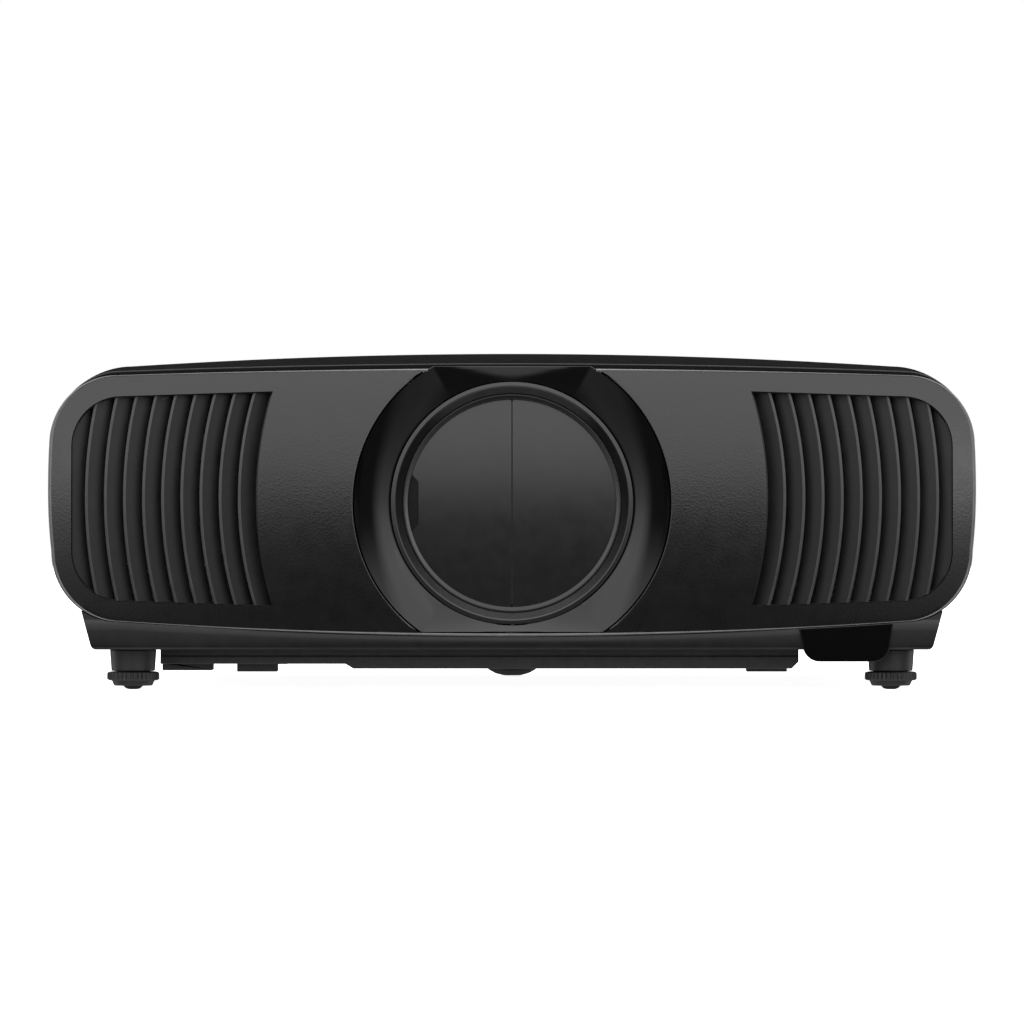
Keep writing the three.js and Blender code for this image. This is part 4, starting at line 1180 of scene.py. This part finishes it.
# Light levels as (height, level): height goes from -1 straight down to 1 straight up.
FRONT_LIGHT = ((-1, 1), (-0.77, 1), (-0.7, 0.09), (0.003, 0.08), (0.035, 1.15), (0.1, 1.35), (0.3, 1.6),
               (0.5, 1.7), (0.75, 2.1), (1, 2.4))
CORNER_LIGHT = ((-1, 1), (-0.77, 1), (-0.7, 0.12), (-0.6, 0.25), (-0.35, 0.32), (-0.22, 0.5), (0, 0.95),
                (0.06, 1.3), (0.3, 1.8), (0.5, 1.7), (0.75, 2.1), (1, 2.4))
SIDE_LIGHT = ((-1, 1), (-0.77, 1), (-0.7, 0.06), (0.1, 0.08), (0.22, 0.3), (0.4, 0.9), (0.6, 1.4), (1, 2.4))
REAR_LIGHT = ((-1, 0.9), (-0.5, 0.7), (-0.15, 1.2), (0.2, 1.3), (0.4, 1.5), (0.6, 2), (1, 2.4))
UNLIT = ((-1, 0.0024), (1, 0.0024))
BRIGHTEST = 2.4
# Where one light takes over from another, as parts of the direction to the back or to the side.
FRONT_BLEND = (-0.33, -0.6)
CORNER_BLEND = (0.12, 0.38)
REAR_BLEND = (0.02, 0.25)
UNLIT_BLEND = (0.66, 0.8)


def height_ramp(nodes, links, height, levels):
    """Light levels that change with the height of the direction."""
    ramp = nodes.new("ShaderNodeValToRGB")
    links.new(spread(nodes, links, height, -1, 1), ramp.inputs["Fac"])
    stops = ramp.color_ramp.elements
    while len(stops) < len(levels):
        stops.new(0.5)
    for stop, (z, level) in zip(stops, levels):
        stop.position = (z + 1) / 2
        stop.color = (*[level / BRIGHTEST] * 3, 1)
    return ramp.outputs["Color"]


def studio_world():
    """White to the camera. Its light comes from a broad front window, two sides, the rear and a ceiling."""
    world = bpy.data.worlds.new("studio")
    bpy.context.scene.world = world
    world.use_nodes = True
    nodes, links = world.node_tree.nodes, world.node_tree.links
    direction = nodes.new("ShaderNodeTexCoord")
    parts = nodes.new("ShaderNodeSeparateXYZ")
    links.new(direction.outputs["Generated"], parts.inputs["Vector"])
    sideways = nodes.new("ShaderNodeMath")
    sideways.operation = "ABSOLUTE"
    links.new(parts.outputs["X"], sideways.inputs[0])

    def blend(value, ends, first, second):
        mix = nodes.new("ShaderNodeMixRGB")
        links.new(spread(nodes, links, value, *ends), mix.inputs["Fac"])
        links.new(first, mix.inputs["Color1"])
        links.new(second, mix.inputs["Color2"])
        return mix.outputs["Color"]

    middle, corner, side, rear, unlit = [
        height_ramp(nodes, links, parts.outputs["Z"], levels)
        for levels in (FRONT_LIGHT, CORNER_LIGHT, SIDE_LIGHT, REAR_LIGHT, UNLIT)
    ]
    # Straight behind the object it is dark, so that the cover's far end doesn't glow in a front view.
    backward = parts.outputs["Y"]
    level = blend(backward, REAR_BLEND, side, rear)
    level = blend(backward, UNLIT_BLEND, level, unlit)
    front = blend(sideways.outputs["Value"], CORNER_BLEND, middle, corner)
    level = blend(backward, FRONT_BLEND, level, front)
    light = nodes["Background"]
    light.inputs["Strength"].default_value = BRIGHTEST
    links.new(level, light.inputs["Color"])
    behind = nodes.new("ShaderNodeBackground")
    behind.inputs["Color"].default_value = (1, 1, 1, 1)
    path = nodes.new("ShaderNodeLightPath")
    mix = nodes.new("ShaderNodeMixShader")
    links.new(path.outputs["Is Camera Ray"], mix.inputs[0])
    links.new(light.outputs["Background"], mix.inputs[1])
    links.new(behind.outputs["Background"], mix.inputs[2])
    links.new(mix.outputs["Shader"], nodes["World Output"].inputs["Surface"])


# Each softbox's name, place and aim in metres, and power in watts.
SOFTBOXES = (
    ("left_light", (-1.9, -3.7, 0.55), (-0.2, -0.2, 0.1), 3),
    ("right_light", (1.8, -3.7, 0.55), (0.2, -0.2, 0.1), 7),
)
SOFTBOX_SIZE = (1.4, 1.05)
FLOOR_HALF = 9000
FLOOR_LEVEL = 0.93


def softbox(name, place, aim, power):
    light = bpy.data.lights.new(name, "AREA")
    light.shape = "RECTANGLE"
    light.size, light.size_y = SOFTBOX_SIZE
    light.energy = power
    obj = new_object(name, light)
    obj.location = place
    obj.rotation_euler = (Vector(aim) - Vector(place)).to_track_quat("-Z", "Y").to_euler()
    obj.visible_camera = False


def stage():
    half = FLOOR_HALF
    corners = [(-half, -half, 0), (half, -half, 0), (half, half, 0), (-half, half, 0)]
    floor = mesh_object("floor", corners, [(0, 1, 2, 3)])
    floor.data.materials.append(white_floor(FLOOR_LEVEL))
    floor.visible_glossy = False
    floor.visible_diffuse = False
    studio_world()
    for row in SOFTBOXES:
        softbox(*row)
    bpy.context.scene.view_settings.view_transform = "Standard"


CAMERA_DISTANCE = 4.7
VIEW_WIDTH = 0.5734
VIEW_MIDDLE_Z = 0.1


def camera():
    """Level with the lens and straight in front. The object fills nearly all of the view's width."""
    data = bpy.data.cameras.new("camera")
    data.lens = data.sensor_width * CAMERA_DISTANCE / VIEW_WIDTH
    data.shift_y = (VIEW_MIDDLE_Z - LENS_Z * MM) / VIEW_WIDTH
    obj = new_object("camera", data)
    obj.location = (0, FRONT_Y * MM - CAMERA_DISTANCE, LENS_Z * MM)
    obj.rotation_euler = (math.radians(90), 0, 0)
    bpy.context.scene.camera = obj


camera()
stage()
front_panel()
panel_rim_highlight()
grille()
lens_surround()
lens_trim_ring()
shutter_left()
shutter_right()
front_window()
top_cover()
cover_lip_highlight()
bottom_case()
base_plate()
thread_inserts()
feet()
rear_panel()
connector_plate()
rear_window()
sockets()
power_inlet()
trigger_jack()
filter_cover()
controls()
lens()
inner_nodes()
